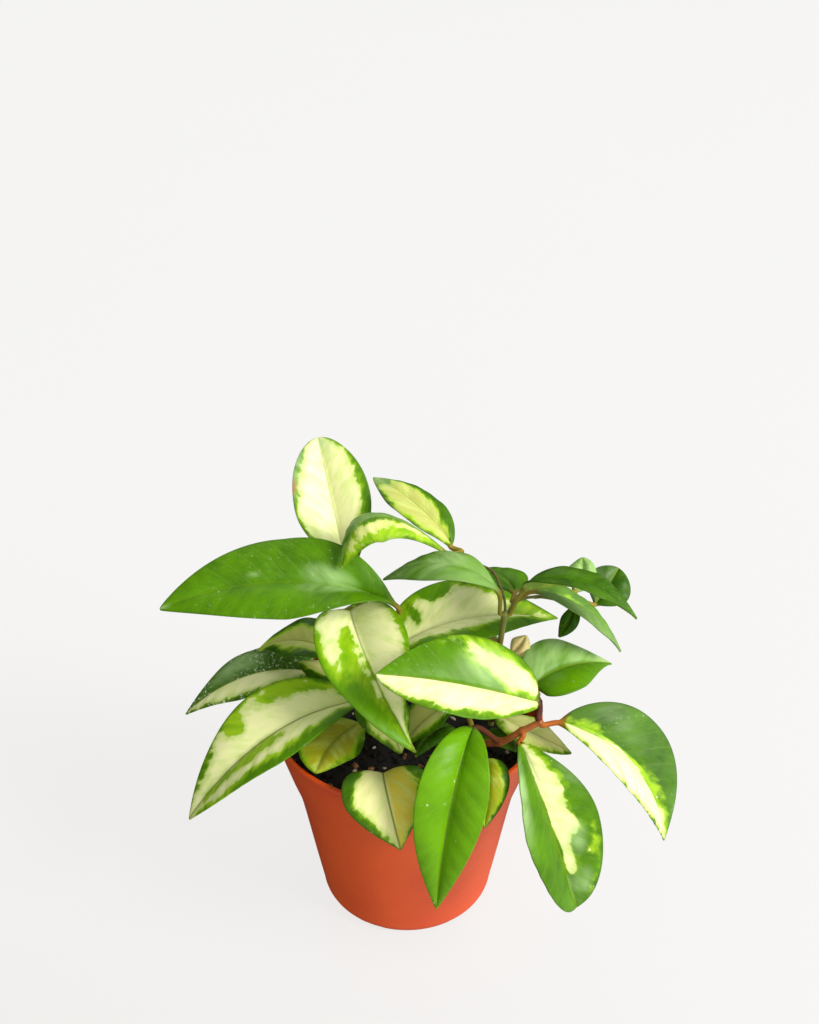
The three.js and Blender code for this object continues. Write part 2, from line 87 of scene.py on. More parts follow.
print("linear mid grey:", round(linear("#808080")[0], 3), "scale of 5 mm lumps:", scale_for(5))

# %% Names for the nodes, and an empty material
MATH, NOISE, DOTS = "ShaderNodeMath", "ShaderNodeTexNoise", "ShaderNodeTexVoronoi"
CARRIED, PLACE = "ShaderNodeAttribute", "ShaderNodeTexCoord"
BUMP, SHADER = "ShaderNodeBump", "ShaderNodeBsdfPrincipled"
# A mix of two colours by a share from 0 to 1.
MIX, COLOURS = "ShaderNodeMix", {"data_type": "RGBA"}
# A soft step: value, low, high, and what it gives below low and above high.
STEP, SOFT = "ShaderNodeMapRange", {"interpolation_type": "SMOOTHSTEP"}


def new_material(name):
    material = bpy.data.materials.new(name)
    material.use_nodes = True
    material.node_tree.nodes.clear()
    return material, material.node_tree


print("kinds of nodes named:", len((MATH, NOISE, DOTS, CARRIED, PLACE, BUMP, SHADER, MIX, STEP)))

# %% [markdown]
# ## The leaf's surface
#
# A hoya leaf is thick and firm, with a wax coat over a smooth skin. Krimson princess is the form whose
# cream lies in the middle of the leaf and whose green lies round the edge. The border between them is
# ragged, because the pale tissue grew out in strips between the side veins, and a yellow-green step lies
# along it where a pale layer covers a green one.
#
# An image could paint this, but a formula stays sharp at any distance and gives each leaf its own border.
# Each leaf's mesh carries how far a point is, in millimetres, inside the cream and inside the
# yellow-green. The material adds noise to those distances, stretched along the side veins, and cuts them
# at zero. Noise before the cut makes the border ragged, where noise after it would only blur it.
#
# The greens are more yellow and more saturated than a leaf looks from afar, because the sheen of the wax
# lies over them and pales them again in the picture.

# %% Colours of the living leaf
LEAF_BRIGHT = "#659e00"
LEAF_DARK = "#295200"
LEAF_LIME = "#9bc41a"
CREAM_FRESH = "#f5f9be"
CREAM_OLD = "#d8c638"
CREAM_OLIVE = "#7f9800"
# Painted shade: a grey olive laid over the cream of some leaves.
CREAM_PAINTED_SHADE = "#a4ac38"
GHOST_GREEN = "#cde27c"
RIB_OLIVE = "#7f8f24"
STALK_OLIVE = "#8a8430"
STALK_RED = "#a8541c"
STALK_DARK = "#3c1c16"
WITHERED_TAN = "#ead79a"
WITHERED_BROWN = "#9a6a2c"
RIM_GREEN = "#3a5a12"
WAX_SILVER = "#d9e6c4"
# Painted sheen: a pale wax-green that stands in for the bright room mirrored in a leaf.
PAINTED_SHEEN_GREEN = "#a9cb86"
BLUSH_RED = "#c4513a"

# %% The leaf material: where a point lies, and the border noise
SIDE_VEIN_STEP = 6.5
VEIN_LEAN = 0.8
POINT_MARKS = ("cream_mm", "lime_mm", "rim", "stalk", "under", "bloom", "age", "blush")
LEAF_MARKS = ("depth", "silver", "rib_tone", "wither", "ripe", "dull")
# Grown wax over a firm skin: a soft broad sheen, with the colour deep under it.
leaf_skin, tree = new_material("hoya_leaf_waxy_cuticle")
carried = {name: add(tree, CARRIED, attribute_name=name, output="Fac") for name in POINT_MARKS + LEAF_MARKS}
place = add(tree, CARRIED, attribute_name="leaf_mm", output="Vector")
across, along, seed = add(tree, "ShaderNodeSeparateXYZ", [place]).node.outputs
off_rib = add(tree, MATH, [across], operation="ABSOLUTE")
half_of_leaf = add(tree, MATH, [across], operation="SIGN")
seed_side = add(tree, MATH, [seed, half_of_leaf], operation="ADD")

# The strips lean from the rib towards the tip.
STRIP_LEAN, STRIP_WIDTH, STRIP_LENGTH = 1.2, 3.3, 7.7
lean = add(tree, MATH, [off_rib, -STRIP_LEAN, along], operation="MULTIPLY_ADD")
lean = add(tree, MATH, [lean, scale_for(STRIP_WIDTH)], operation="MULTIPLY")
reach_out = add(tree, MATH, [along, 0.5, off_rib], operation="MULTIPLY_ADD")
reach_out = add(tree, MATH, [reach_out, scale_for(STRIP_LENGTH)], operation="MULTIPLY")
strips = add(tree, "ShaderNodeCombineXYZ", [lean, reach_out, seed_side])

# Lobes of 6 mm, then the strips, then crumbs of 1 mm. Each noise runs from 0 to 1 and pushes the border
# by up to half its reach, in millimetres, to either side.
ragged = 0.0
for where, scale, detail, roughness, reach in (
        (place, scale_for(6.25), 2.0, 0.5, 5.0), (strips, 1.0, 3.5, 0.55, 3.6),
        (place, scale_for(1.11), 2.0, 0.5, 0.7)):
    grain = add(tree, NOISE, [where, scale, detail, roughness])
    from_middle = add(tree, MATH, [grain, 0.5], operation="SUBTRACT")
    ragged = add(tree, MATH, [from_middle, reach, ragged], operation="MULTIPLY_ADD")

cream_depth = add(tree, MATH, [carried["cream_mm"], ragged], operation="ADD")
lime_depth = add(tree, MATH, [ragged, 1.2, carried["lime_mm"]], operation="MULTIPLY_ADD")
cream_share = add(tree, STEP, [cream_depth, -0.3, 0.45], **SOFT)
lime_share = add(tree, STEP, [lime_depth, -1.3, 1.3], **SOFT)
print("leaf borders cut from", len(tree.nodes), "nodes")

# %% Green, yellow-green and cream
# The green changes in clouds of 11 mm, and in a mottling along the strips, 2.4 times as fine as they are.
broad = add(tree, NOISE, [place, scale_for(11.1), 2.0, 0.5])
mottle = add(tree, NOISE, [strips, 2.4, 5.0, 0.68])
shade = add(tree, MATH, [broad, 0.9, carried["depth"]], operation="MULTIPLY_ADD")
shade = add(tree, MATH, [mottle, 0.5, shade], operation="MULTIPLY_ADD")
shade = add(tree, MATH, [shade, (0.9 + 0.5) / 2], operation="SUBTRACT")
green = add(tree, MIX, [shade, LEAF_BRIGHT, LEAF_DARK], **COLOURS)
patches = add(tree, NOISE, [strips, 0.7, 2.0, 0.5])
patches = add(tree, STEP, [patches, 0.36, 0.66, 0.0, 0.6], **SOFT)
lime = add(tree, MIX, [patches, LEAF_LIME, LEAF_BRIGHT], **COLOURS)

# The cream ages over gold to olive, has faint green strips in it, and is greener close to its border.
# Painted shade: a grey olive, leaf by leaf, darkens and greys the cream.
past_gold = add(tree, MATH, [carried["age"], 1.0], operation="SUBTRACT")
strip_veil = add(tree, NOISE, [strips, 0.8, 3.0, 0.6])
strip_veil = add(tree, STEP, [strip_veil, 0.42, 0.7, 0.0, 0.55], **SOFT)
near_border = add(tree, STEP, [cream_depth, 0.2, 2.4, 0.45, 0.0], **SOFT)
cream = CREAM_FRESH
for share, colour in ((carried["age"], CREAM_OLD), (past_gold, CREAM_OLIVE), (carried["dull"], CREAM_PAINTED_SHADE),
                      (strip_veil, GHOST_GREEN), (near_border, LEAF_LIME)):
    cream = add(tree, MIX, [share, cream, colour], **COLOURS)
skin = add(tree, MIX, [lime_share, green, lime], **COLOURS)
skin = add(tree, MIX, [cream_share, skin, cream], **COLOURS)
print("greens and creams mixed with", len(tree.nodes), "nodes")

# %% The rib, the side veins, the rim and the silver flecks
# The rib line is the rib's own olive colour, and on green leaves also painted shade of the groove along it.
rib_colour_and_groove_shade = add(tree, STEP, [off_rib, 0.1, 0.55, 1.0, 0.0], **SOFT)
rib_colour_and_groove_shade = add(tree, MATH, [rib_colour_and_groove_shade, carried["rib_tone"]], operation="MULTIPLY")
vein_place = add(tree, MATH, [off_rib, -VEIN_LEAN, along], operation="MULTIPLY_ADD")
vein_turn = add(tree, MATH, [vein_place, SIDE_VEIN_STEP / 2], operation="PINGPONG")
vein_line = add(tree, STEP, [vein_turn, 0.0, 0.8, 1.0, 0.0], **SOFT)
here_and_there = add(tree, STEP, [broad, 0.35, 0.65], **SOFT)
vein_line = add(tree, MATH, [vein_line, here_and_there], operation="MULTIPLY")
faint_vein = add(tree, MATH, [vein_line, 0.035], operation="MULTIPLY")
dark_rim = add(tree, MATH, [carried["rim"], 0.8], operation="MULTIPLY")

# Flecks are round dots of uneven size, one in 3 mm at most and fewer in places of 5 mm.
fleck_size = add(tree, NOISE, [place, scale_for(5), 1.0, 0.55])
fleck_size = add(tree, STEP, [fleck_size, 0.48, 0.75, 0.0, 0.12], **SOFT)
uneven = add(tree, NOISE, [place, scale_for(0.385), 2.0, 0.55])
uneven = add(tree, STEP, [uneven, 0.35, 0.65, 0.5, 1.3], **SOFT)
fleck_size = add(tree, MATH, [fleck_size, uneven], operation="MULTIPLY")
to_fleck = add(tree, DOTS, [place, scale_for(3)])
to_fleck = add(tree, MATH, [to_fleck, fleck_size], operation="SUBTRACT")
flecks = add(tree, STEP, [to_fleck, -0.03, 0.03, 0.6, 0.0], **SOFT)
print("veins and flecks drawn with", len(tree.nodes), "nodes")

# %% Splashes, painted sheen and the layers of the skin
# A splash is where fine specks crowd in a dusty area of some 17 mm.
amount = carried["silver"]
dusty = add(tree, NOISE, [place, scale_for(16.7), 1.0, 0.55])
dusty = add(tree, MATH, [amount, 0.1, dusty], operation="MULTIPLY_ADD")
dusty = add(tree, STEP, [dusty, 0.55, 0.68, 0.0, 0.5], **SOFT)
specks = add(tree, NOISE, [place, scale_for(1.43), 6.0, 0.75])
specks = add(tree, MATH, [amount, 0.025, specks], operation="MULTIPLY_ADD")
specks = add(tree, STEP, [specks, 0.6, 0.72], **SOFT)
splash = add(tree, MATH, [specks, dusty], operation="MULTIPLY")
splash = add(tree, MATH, [splash, amount], operation="MULTIPLY")
silver = add(tree, MATH, [flecks, splash], operation="MAXIMUM")
fainter_on_cream = add(tree, MATH, [cream_share, -0.6, 1.0], operation="MULTIPLY_ADD")
silver = add(tree, MATH, [silver, fainter_on_cream], operation="MULTIPLY")

# Painted sheen: pale streaks of wax-green where a leaf would mirror the bright room.
sheen_streaks = add(tree, NOISE, [strips, 0.5, 2.0, 0.5])
sheen_streaks = add(tree, STEP, [sheen_streaks, 0.15, 0.6, 0.0, 0.65], **SOFT)
bloom = add(tree, MATH, [carried["bloom"], sheen_streaks], operation="MULTIPLY")
blush = add(tree, MATH, [carried["blush"], 0.5], operation="MULTIPLY")
browned = add(tree, STEP, [mottle, 0.5, 0.85], **SOFT)
withered = add(tree, MIX, [browned, WITHERED_TAN, WITHERED_BROWN], **COLOURS)
past_red = add(tree, MATH, [carried["ripe"], 1.0], operation="SUBTRACT")
stalk_colour = add(tree, MIX, [carried["ripe"], STALK_OLIVE, STALK_RED], **COLOURS)
stalk_colour = add(tree, MIX, [past_red, stalk_colour, STALK_DARK], **COLOURS)
paler_under = add(tree, MATH, [carried["under"], 0.3], operation="MULTIPLY")
for share, colour in (
        (rib_colour_and_groove_shade, RIB_OLIVE), (faint_vein, GHOST_GREEN), (dark_rim, RIM_GREEN), (silver, WAX_SILVER),
        (bloom, PAINTED_SHEEN_GREEN), (blush, BLUSH_RED), (carried["wither"], withered),
        (carried["stalk"], stalk_colour), (paler_under, GHOST_GREEN)):
    skin = add(tree, MIX, [share, skin, colour], **COLOURS)
print("leaf colours mixed with", len(tree.nodes), "nodes")

# %% [markdown]
# ### Gloss and relief
#
# Leaf wax has an IOR near 1.45. The skin under it is slightly rough, so a leaf shows a broad soft sheen
# and not a mirror. The wax is full of tiny crystals that scatter part of what would be mirrored, so the
# specular level is set well below that of a clear varnish, and only a trace of coat gives the tighter
# streak along the rib. Light also goes into the tissue and comes out near by, which is why the cream
# looks soft. The large relief, the swells between the side veins, is in the mesh. The bump only adds the
# vein lines and a fine grain.

# %% Finish of the leaf
sunk_veins = add(tree, MATH, [vein_line, -0.35], operation="MULTIPLY")
grain = add(tree, NOISE, [place, scale_for(0.333), 3.0, 0.6])
relief = add(tree, MATH, [grain, 0.25, sunk_veins], operation="MULTIPLY_ADD")
roughness = add(tree, MATH, [broad, 0.22, 0.31], operation="MULTIPLY_ADD")
roughness = add(tree, MATH, [carried["under"], 0.15, roughness], operation="MULTIPLY_ADD")
shader = add(tree, SHADER, {
    "Base Color": skin, "Roughness": roughness, "IOR": 1.45, "Specular IOR Level": 0.18,
    "Coat Weight": 0.04, "Coat Roughness": 0.25,
    "Subsurface Weight": 0.1, "Subsurface Radius": (1.0, 1.2, 0.3), "Subsurface Scale": 1.0 * MM,
    "Normal": add(tree, BUMP, {"Height": relief, "Strength": 0.35, "Distance": 0.25 * MM}),
})
add(tree, "ShaderNodeOutputMaterial", {"Surface": shader})
print("leaf material:", leaf_skin.name)

# %% [markdown]
# ## The vines
#
# Each vine is a curve through a few points, and the leaves stand on those points. The curve has to be the
# same as in the CAD model, or the stalks would miss it: a Catmull-Rom spline, which passes through every
# point. Blender's own curves could draw it with a Bezier, but the leaf code needs its points and
# directions too, so it is worked out here once and used for both.

# %% Vine points, in millimetres
VINES = {
    "vine_crown": {
        "radius": (1.7, 1.2),
        "points": [(-8, 13, 62), (-8, 13, 78), (-9, 11, 93), (-9, 9, 105), (-11, 8, 115), (-17, 10, 121)],
    },
    "vine_fork": {"radius": (1.3, 1.0), "points": [(31, 2, 62), (31, 2, 78), (32, -1, 103), (34, -4, 128)]},
    "vine_fork_top": {
        "radius": (0.7, 0.6), "fine_radius": (0.5, 0.38), "dark": 0.5, "grown_from": "vine_fork",
        "points": [
            (34, -4, 126), (34, -3, 131), (33, -1, 135), (30, 5, 139.5), (24, 9.5, 140.5), (18.5, 14.5, 141),
        ],
    },
    "vine_fork_side": {
        "radius": (0.8, 0.65), "fine_radius": (0.6, 0.5), "grown_from": "vine_fork",
        "points": [(34, -4, 125), (38, 2, 129), (46, 8, 127), (55, 13, 122), (64, 18, 116)],
    },
    "vine_red": {
        "radius": (1.5, 1.1),
        "points": [
            (20, -16, 62), (20, -16, 75), (20, -17, 81), (24, -26, 89),
            (32, -32, 94.5), (39, -34, 101), (45, -33, 104),
        ],
    },
    "vine_red_top": {
        # Its near-black is the young shoot's own colour and also painted shade: a dark line where the rim
        # behind lies in shadow.
        "radius": (0.7, 0.6), "fine_radius": (0.45, 0.45), "dark": 1.0, "grown_from": "vine_red",
        "points": [(44.5, -33, 103), (45.6, -30, 105.6), (45.8, -25, 106.5), (44.6, -18, 105)],
    },
    "vine_left": {
        "radius": (1.5, 1.1),
        "points": [(-13, -3, 62), (-13, -3, 77), (-14, -5, 84), (-15, -6, 90), (-19, -3, 95), (-24, 3, 98)],
    },
    "vine_low": {"radius": (1.2, 1.0), "points": [(-8, -32, 62), (-8, -32, 74), (-8, -33, 79)]},
    "vine_back": {
        "radius": (1.6, 1.1),
        "points": [(4, 24, 62), (4, 24, 76), (4, 29, 82), (1, 34, 86), (-4, 37, 87)],
    },
}


# %% A smooth curve through points
def unit(v):
    return v / np.linalg.norm(v, axis=-1, keepdims=True)


def spline(points, t):
    """The place and the direction on a Catmull-Rom curve, for t from 0 at its start to 1 at its end."""
    p = np.array(points, float)
    p = np.vstack([2 * p[0] - p[1], p, 2 * p[-1] - p[-2]])
    spans = len(points) - 1
    i = min(int(t * spans), spans - 1)
    f = t * spans - i
    p0, p1, p2, p3 = p[i:i + 4]
    m1, m2 = (p2 - p0) / 2, (p3 - p1) / 2
    place_here = ((2 * f**3 - 3 * f**2 + 1) * p1 + (f**3 - 2 * f**2 + f) * m1
                  + (3 * f**2 - 2 * f**3) * p2 + (f**3 - f**2) * m2)
    slope = (6 * f**2 - 6 * f) * (p1 - p2) + (3 * f**2 - 4 * f + 1) * m1 + (3 * f**2 - 2 * f) * m2
    return place_here, unit(slope)


place_there, _ = spline(VINES["vine_crown"]["points"], 0.5)
print("middle of vine_crown, mm:", place_there.round(1))

# %% [markdown]
# ## The leaf's form
#
# A leaf blade is two half-blades that meet in a fold along the rib. Each leaf is told by a few measures:
# where its base, the middle of its rib and its tip are, and how far and which way each edge lies from the
# rib where the leaf is widest. A sine curve, raised to a power, gives the outline, and the power sets how
# full or how pointed it is. Round the two half-blades goes a closed skin of rings, from the stalk's foot
# to the tip. The rib is a groove above and a ridge below, and the blade swells by a tenth of a millimetre
# between its side veins, which breaks up the sheen as on a living leaf.
#
# Sculpting every leaf by hand would also do, but 36 leaves from one formula keep the CAD model's form
# exactly, and each still bends and twists its own way.

# %% Sizes of a leaf, in millimetres
STALK_RADIUS = 0.95
STALK_ELBOW = 1.5
STALK_BEND = 0.3
RIB_THICKNESS = 1.5
BLADE_THICKNESS = 1.15
EDGE_THICKNESS = 0.65
PUFF = 1.2
BASE_CHANNEL = 16
RIB_GROOVE = 0.45
UNDER_RIB = 0.5
EDGE_WAVE = 0.45
QUILT = 0.1
RIB_REACH = 1.6
GROOVE_REACH = 0.75
DARK_RIM = 0.9
FOOT_IN_VINE = 0.7
STALK_FLARE = 0.18
STALK_END = 0.94
BLADE_START = 0.03
TIP_THINNING = 0.45
WAVE_FULL_REACH = 12
OTHER_HALF_PHASE = 0.37
HALF_STEPS = 15
RIM_STEPS = 3
STALK_RINGS = 9
BLADE_RINGS = 84
RING_POINTS = 2 * (2 * HALF_STEPS + 1) + 2 * RIM_STEPS


# %% Outline, rib and the turn of the half-blades
def outline_width(s, outline):
    """How wide the blade is at a place along it, as a share of its widest."""
    widest, toward_base, toward_tip = outline
    swell = np.sin(math.pi * s ** (math.log(0.5) / math.log(widest)))
    return max(swell, 0.0) ** (toward_base if s < widest else toward_tip)


def rib_point(leaf, s):
    base, rib, tip = [np.array(leaf[k], float) for k in ("base", "rib", "tip")]
    return base * (1 - s) * (1 - 2 * s) + rib * 4 * s * (1 - s) + tip * s * (2 * s - 1)


def leaf_length(leaf):
    """The rib's length from base to tip, as ten straight steps."""
    stops = [rib_point(leaf, s) for s in np.linspace(0, 1, 11)]
    return sum(np.linalg.norm(b - a) for a, b in zip(stops, stops[1:]))


def rib_direction(leaf, s):
    base, rib, tip = [np.array(leaf[k], float) for k in ("base", "rib", "tip")]
    return unit(base * (4 * s - 3) + rib * (4 - 8 * s) + tip * (4 * s - 1))


def swing(v, start, end):
    """Turns v by the smallest turn that takes one direction to another."""
    c = np.cross(start, end)
    return v + np.cross(c, v) + np.cross(c, np.cross(c, v)) / (1 + start @ end)


def roll(v, axis, angle):
    """Turns v about an axis that it is square to."""
    return v * math.cos(angle) + np.cross(axis, v) * math.sin(angle)


def half_blades(leaf, s):
    """The way from the rib to each edge at a place along the blade, before the outline narrows it."""
    middle, here = rib_direction(leaf, 0.5), rib_direction(leaf, s)
    fold = math.radians(leaf["channel"]) * max(1 - 2 * s, 0) ** 1.3
    halves = []
    for name, turn in (("left", fold), ("right", -fold)):
        v = np.array(leaf[name], float)
        v = v - middle * (v @ middle)
        halves.append(roll(swing(v, middle, here), here, turn))
    return halves, here


print("outline at a third of the way:", round(outline_width(0.33, (0.45, 0.65, 0.9)), 2))


# %% One ring round the blade
def soft_step(x, low, high):
    t = np.clip((x - low) / (high - low), 0, 1)
    return t * t * (3 - 2 * t)


SHARES = np.sin(np.linspace(0, 1, HALF_STEPS + 1) * math.pi / 2)


def side_line(leaf, s, half, up, rib_up, width, phase):
    """Middle points of a half-blade from rib to edge, the way up at each, and its distance from the rib."""
    across_way = unit(half)
    # At its base the blade stays as wide as the stalk that it grows from.
    reach = math.hypot(width * np.linalg.norm(half), STALK_RADIUS * 0.5 * (1 - s) + 0.2)
    blend = soft_step(SHARES, 0, 0.3)[:, None]
    ups = unit(rib_up * (1 - blend) + up * blend)
    wave = math.sin(2 * math.pi * (leaf["waves"] * s + phase)) * math.sin(math.pi * s)
    wave = EDGE_WAVE * min(reach / WAVE_FULL_REACH, 1) * SHARES**2 * wave
    puff = PUFF * 4 * SHARES * (1 - SHARES) * width
    points = rib_point(leaf, s) + across_way * (reach * SHARES)[:, None] + up * (puff + wave)[:, None]
    return points, ups, reach * SHARES


def quilting(leaf, s, distance):
    """How far the blade swells between its side veins, or sinks along them, flat at the rib, rim and ends."""
    vein_place = s * leaf_length(leaf) - VEIN_LEAN * distance
    vein_turn = np.cos(2 * math.pi * vein_place / SIDE_VEIN_STEP)
    flat_across = soft_step(distance, 0.8, 3.0) * (1 - soft_step(distance / distance.max(), 0.8, 1.0))
    flat_along = soft_step(s, 0.05, 0.2) * (1 - soft_step(s, 0.8, 0.95))
    return -QUILT * vein_turn * flat_across * flat_along


def round_rim(edge, way, up, radius):
    """A half circle from the upper face to the under face."""
    angles = np.linspace(math.pi / 2, -math.pi / 2, RIM_STEPS + 2)[1:-1]
    return np.array([edge + radius * (way * math.cos(a) + up * math.sin(a)) for a in angles])


def blade_ring(leaf, s):
    """The ring's points: over the upper face from left to right, round the rim, and back under."""
    (left, right), here = half_blades(leaf, s)
    left_up, right_up = unit(np.cross(here, left)), unit(np.cross(right, here))
    rib_up = unit(left_up + right_up)
    right_width = outline_width(s, leaf["outline"])
    left_width = outline_width(s, leaf.get("left_outline", leaf["outline"]))
    lp, lu, ld = side_line(leaf, s, left, left_up, rib_up, left_width, leaf["phase"])
    rp, ru, rd = side_line(leaf, s, right, right_up, rib_up, right_width, leaf["phase"] + OTHER_HALF_PHASE)
    points, ups = np.vstack([lp[::-1], rp[1:]]), np.vstack([lu[::-1], ru[1:]])
    distance = np.concatenate([-ld[::-1], rd[1:]])
    points = points + ups * quilting(leaf, s, abs(distance))[:, None]
    share = np.concatenate([SHARES[::-1], SHARES[1:]])
    rib_share = np.exp(-((distance / RIB_REACH) ** 2))
    tip_thin = 1 - TIP_THINNING * soft_step(s, 0.8, 1)
    thick = (EDGE_THICKNESS + (BLADE_THICKNESS - EDGE_THICKNESS) * (1 - share**3)
             + (RIB_THICKNESS - BLADE_THICKNESS) * rib_share) * tip_thin
    groove = np.exp(-((distance / GROOVE_REACH) ** 2)) * soft_step(s, 0.0, 0.12) * (1 - soft_step(s, 0.8, 1))
    top = points + ups * (thick / 2 - RIB_GROOVE * groove)[:, None]
    low = points - ups * (thick / 2 + UNDER_RIB * groove)[:, None]
    right_rim = round_rim(points[-1], unit(right), ups[-1], thick[0] / 2)
    left_rim = round_rim(points[0], unit(left), ups[0], thick[0] / 2)[::-1]
    return np.vstack([top, right_rim, low[::-1], left_rim]), distance


# %% The stalk's rings
def stalk_curve(leaf):
    """A Bezier from the vine to the blade's base, as four points: a short elbow, and then up to the leaf."""
    vine = VINES[leaf["on"][0]]
    t = leaf["on"][1] / (len(vine["points"]) - 1)
    foot, vine_way = spline(vine["points"], t)
    base = np.array(leaf["base"], float)
    away = base - foot
    away = unit(away - vine_way * (away @ vine_way))
    start = foot + away * (vine["radius"][0] * (1 - t) + vine["radius"][1] * t + 0.3)
    reach = np.linalg.norm(start - base) * STALK_BEND
    elbow = start + away * min(STALK_ELBOW, reach)
    return start, elbow, base - rib_direction(leaf, 0) * reach, base


def stalk_ring(middle, way, right, radius):
    up = unit(np.cross(right, way))
    across_way = unit(np.cross(way, up))
    step = 2 * math.pi / RING_POINTS
    angles = math.pi - (RIM_STEPS + 1) / 2 * step - np.arange(RING_POINTS) * step
    return middle + radius * (np.outer(np.cos(angles), across_way) + np.outer(np.sin(angles), up))


def stalk_rings(leaf):
    """Rings from the foot, just inside the vine, to the blade's base, with how far along each one lies."""
    start, bend_a, bend_b, base = stalk_curve(leaf)
    right = np.array(leaf["right"], float) - np.array(leaf["left"], float)
    foot = start - unit(bend_a - start) * FOOT_IN_VINE
    rings = []
    for step, t in enumerate((0.0, *np.linspace(0, STALK_END, STALK_RINGS))):
        middle = ((1 - t) ** 3 * start + 3 * (1 - t) ** 2 * t * bend_a
                  + 3 * (1 - t) * t**2 * bend_b + t**3 * base)
        way = (1 - t) ** 2 * (bend_a - start) + 2 * (1 - t) * t * (bend_b - bend_a) + t**2 * (base - bend_b)
        flare = 1 + STALK_FLARE * (1 - soft_step(t, 0, 0.3))
        slim = 1 - (1 - leaf["slim"]) * (1 - soft_step(t, 0.5, 1.0))
        rings.append((t, stalk_ring(middle if step else foot, unit(way), right, STALK_RADIUS * flare * slim)))
    return rings


print("points a ring:", RING_POINTS)

# %% [markdown]
# ### Where the cream lies
#
# For each half-blade, three numbers give how much of it is green edge at the base, the middle and the
# tip, or one number does for all three: 0 is cream to the very edge, and more than 1 is all green. Spots
# add to that: each is an oval in the leaf's own measures, placed where the plant shows an island
# of cream, yellow-green or green.

# %% The leaf's markings, as distances in millimetres
FAR_INSIDE = 9.0
GREEN_HALF_MM = -2.5
STALK_MM = -6
EDGE_STOPS = (0.08, 0.5, 0.92)
SPOT_SOFTNESS = 1.4
SPOT_RIM_CLEAR = 0.9
SPOT_LIME_MM = 1.2


def markings(leaf, s, across_share, half_width, length):
    """How far a point is inside the cream and the yellow-green, negative outside, its painted sheen and its
    blush.
    """
    side = 0 if across_share < 0 else 1
    margin = np.interp(s, EDGE_STOPS, np.broadcast_to(leaf["green"][side], 3))
    to_tip = (1 - s) * length * 0.5 + 1.0
    cream_mm = min((1 - margin - abs(across_share)) * half_width, to_tip if margin < 1 else GREEN_HALF_MM)
    lime_mm = cream_mm + leaf["lime_band"]
    bloom, blush = leaf["bloom"][side], 0.0
    for tone, spot_s, spot_across, size_s, size_across in leaf["spots"]:
        off = math.hypot((s - spot_s) / size_s, (across_share - spot_across) / size_across)
        inside = (1 - off) * min(size_s * length, size_across * half_width)
        strength = min(max(SPOT_SOFTNESS * (1 - off), 0), 1)
        if tone == "cream":
            inside = min(inside, (SPOT_RIM_CLEAR - abs(across_share)) * half_width)
            cream_mm, lime_mm = max(cream_mm, inside), max(lime_mm, inside + SPOT_LIME_MM)
        elif tone == "lime":
            cream_mm, lime_mm = min(cream_mm, -inside), max(lime_mm, inside)
        elif tone == "green":
            cream_mm, lime_mm = min(cream_mm, -inside), min(lime_mm, -inside)
        elif tone == "bloom":
            bloom = max(bloom, strength)
        else:
            blush = max(blush, strength)
    cream_mm, lime_mm = np.clip([cream_mm, lime_mm], -FAR_INSIDE, FAR_INSIDE)
    return cream_mm, lime_mm, bloom, blush


# %% A mesh from rings, and a whole leaf
def skin_faces(rings, count):
    faces = []
    for r in range(rings - 1):
        for i in range(count):
            a, b = r * count + i, r * count + (i + 1) % count
            faces.append((a, b, b + count, a + count))
    last = (rings - 1) * count
    faces.append(tuple(range(count - 1, -1, -1)))
    faces.append(tuple(range(last, last + count)))
    return faces


def new_mesh(name, points, faces, material):
    mesh = bpy.data.meshes.new(name)
    mesh.from_pydata((np.asarray(points) * MM).tolist(), [], faces)
    mesh.materials.append(material)
    mesh.shade_smooth()
    mesh.update()
    piece = bpy.data.objects.new(name, mesh)
    bpy.context.scene.collection.objects.link(piece)
    return piece


def carry(mesh, name, values):
    """Gives each point of a mesh a number, or three, that the material reads by name."""
    values = np.asarray(values, np.float32)
    kind, field = ("FLOAT_VECTOR", "vector") if values.ndim == 2 else ("FLOAT", "value")
    mesh.attributes.new(name, kind, "POINT").data.foreach_set(field, values.ravel())


SEED_STEP = 37.0


def upper_marks(leaf, s, distance, length):
    """What each point of the upper face carries: its place in the leaf, and then its POINT_MARKS."""
    half = max(abs(distance[0]), abs(distance[-1]))
    stalk = 1 - soft_step(s, 0.0, 0.04)
    line = []
    for d, a in zip(distance, np.concatenate([-SHARES[::-1], SHARES[1:]])):
        cream_mm, lime_mm, bloom, blush = markings(leaf, s, a, half, length)
        rim = soft_step(abs(d), half - DARK_RIM, half - 0.1) * leaf["rim"]
        age = leaf["age"][0 if a < 0 else 1]
        line.append((d, s * length, cream_mm, lime_mm, rim, stalk, 0, bloom, age, blush))
    return line


def make_leaf(leaf, number):
    rings, marks = [], []
    length = leaf_length(leaf)
    for t, ring in stalk_rings(leaf):
        rings.append(ring)
        marks += [(0, (t - 1) * 5, STALK_MM, STALK_MM, 0, 1, 0, 0, 0, 0)] * RING_POINTS
    for s in BLADE_START + (1 - BLADE_START) * np.sin(np.linspace(0, 1, BLADE_RINGS) * math.pi / 2):
        ring, distance = blade_ring(leaf, s)
        rings.append(ring)
        line = upper_marks(leaf, s, distance, length)
        under = [(*m[:6], 1, 0, m[8], 0) for m in line[::-1]]
        marks += line + [line[-1]] * RIM_STEPS + under + [line[0]] * RIM_STEPS
    marks = np.array(marks)
    piece = new_mesh(leaf["name"] + "_fine", np.vstack(rings), skin_faces(len(rings), RING_POINTS), leaf_skin)
    own_seed = np.full(len(marks), SEED_STEP * (number + 1))
    carry(piece.data, "leaf_mm", np.column_stack([marks[:, 0], marks[:, 1], own_seed]))
    for column, name in enumerate(POINT_MARKS, 2):
        carry(piece.data, name, marks[:, column])
    for name in LEAF_MARKS:
        carry(piece.data, name, np.full(len(marks), leaf[name]))
    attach(piece, "root")
    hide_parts(leaf["name"])
    return piece


print("leaf maker ready")
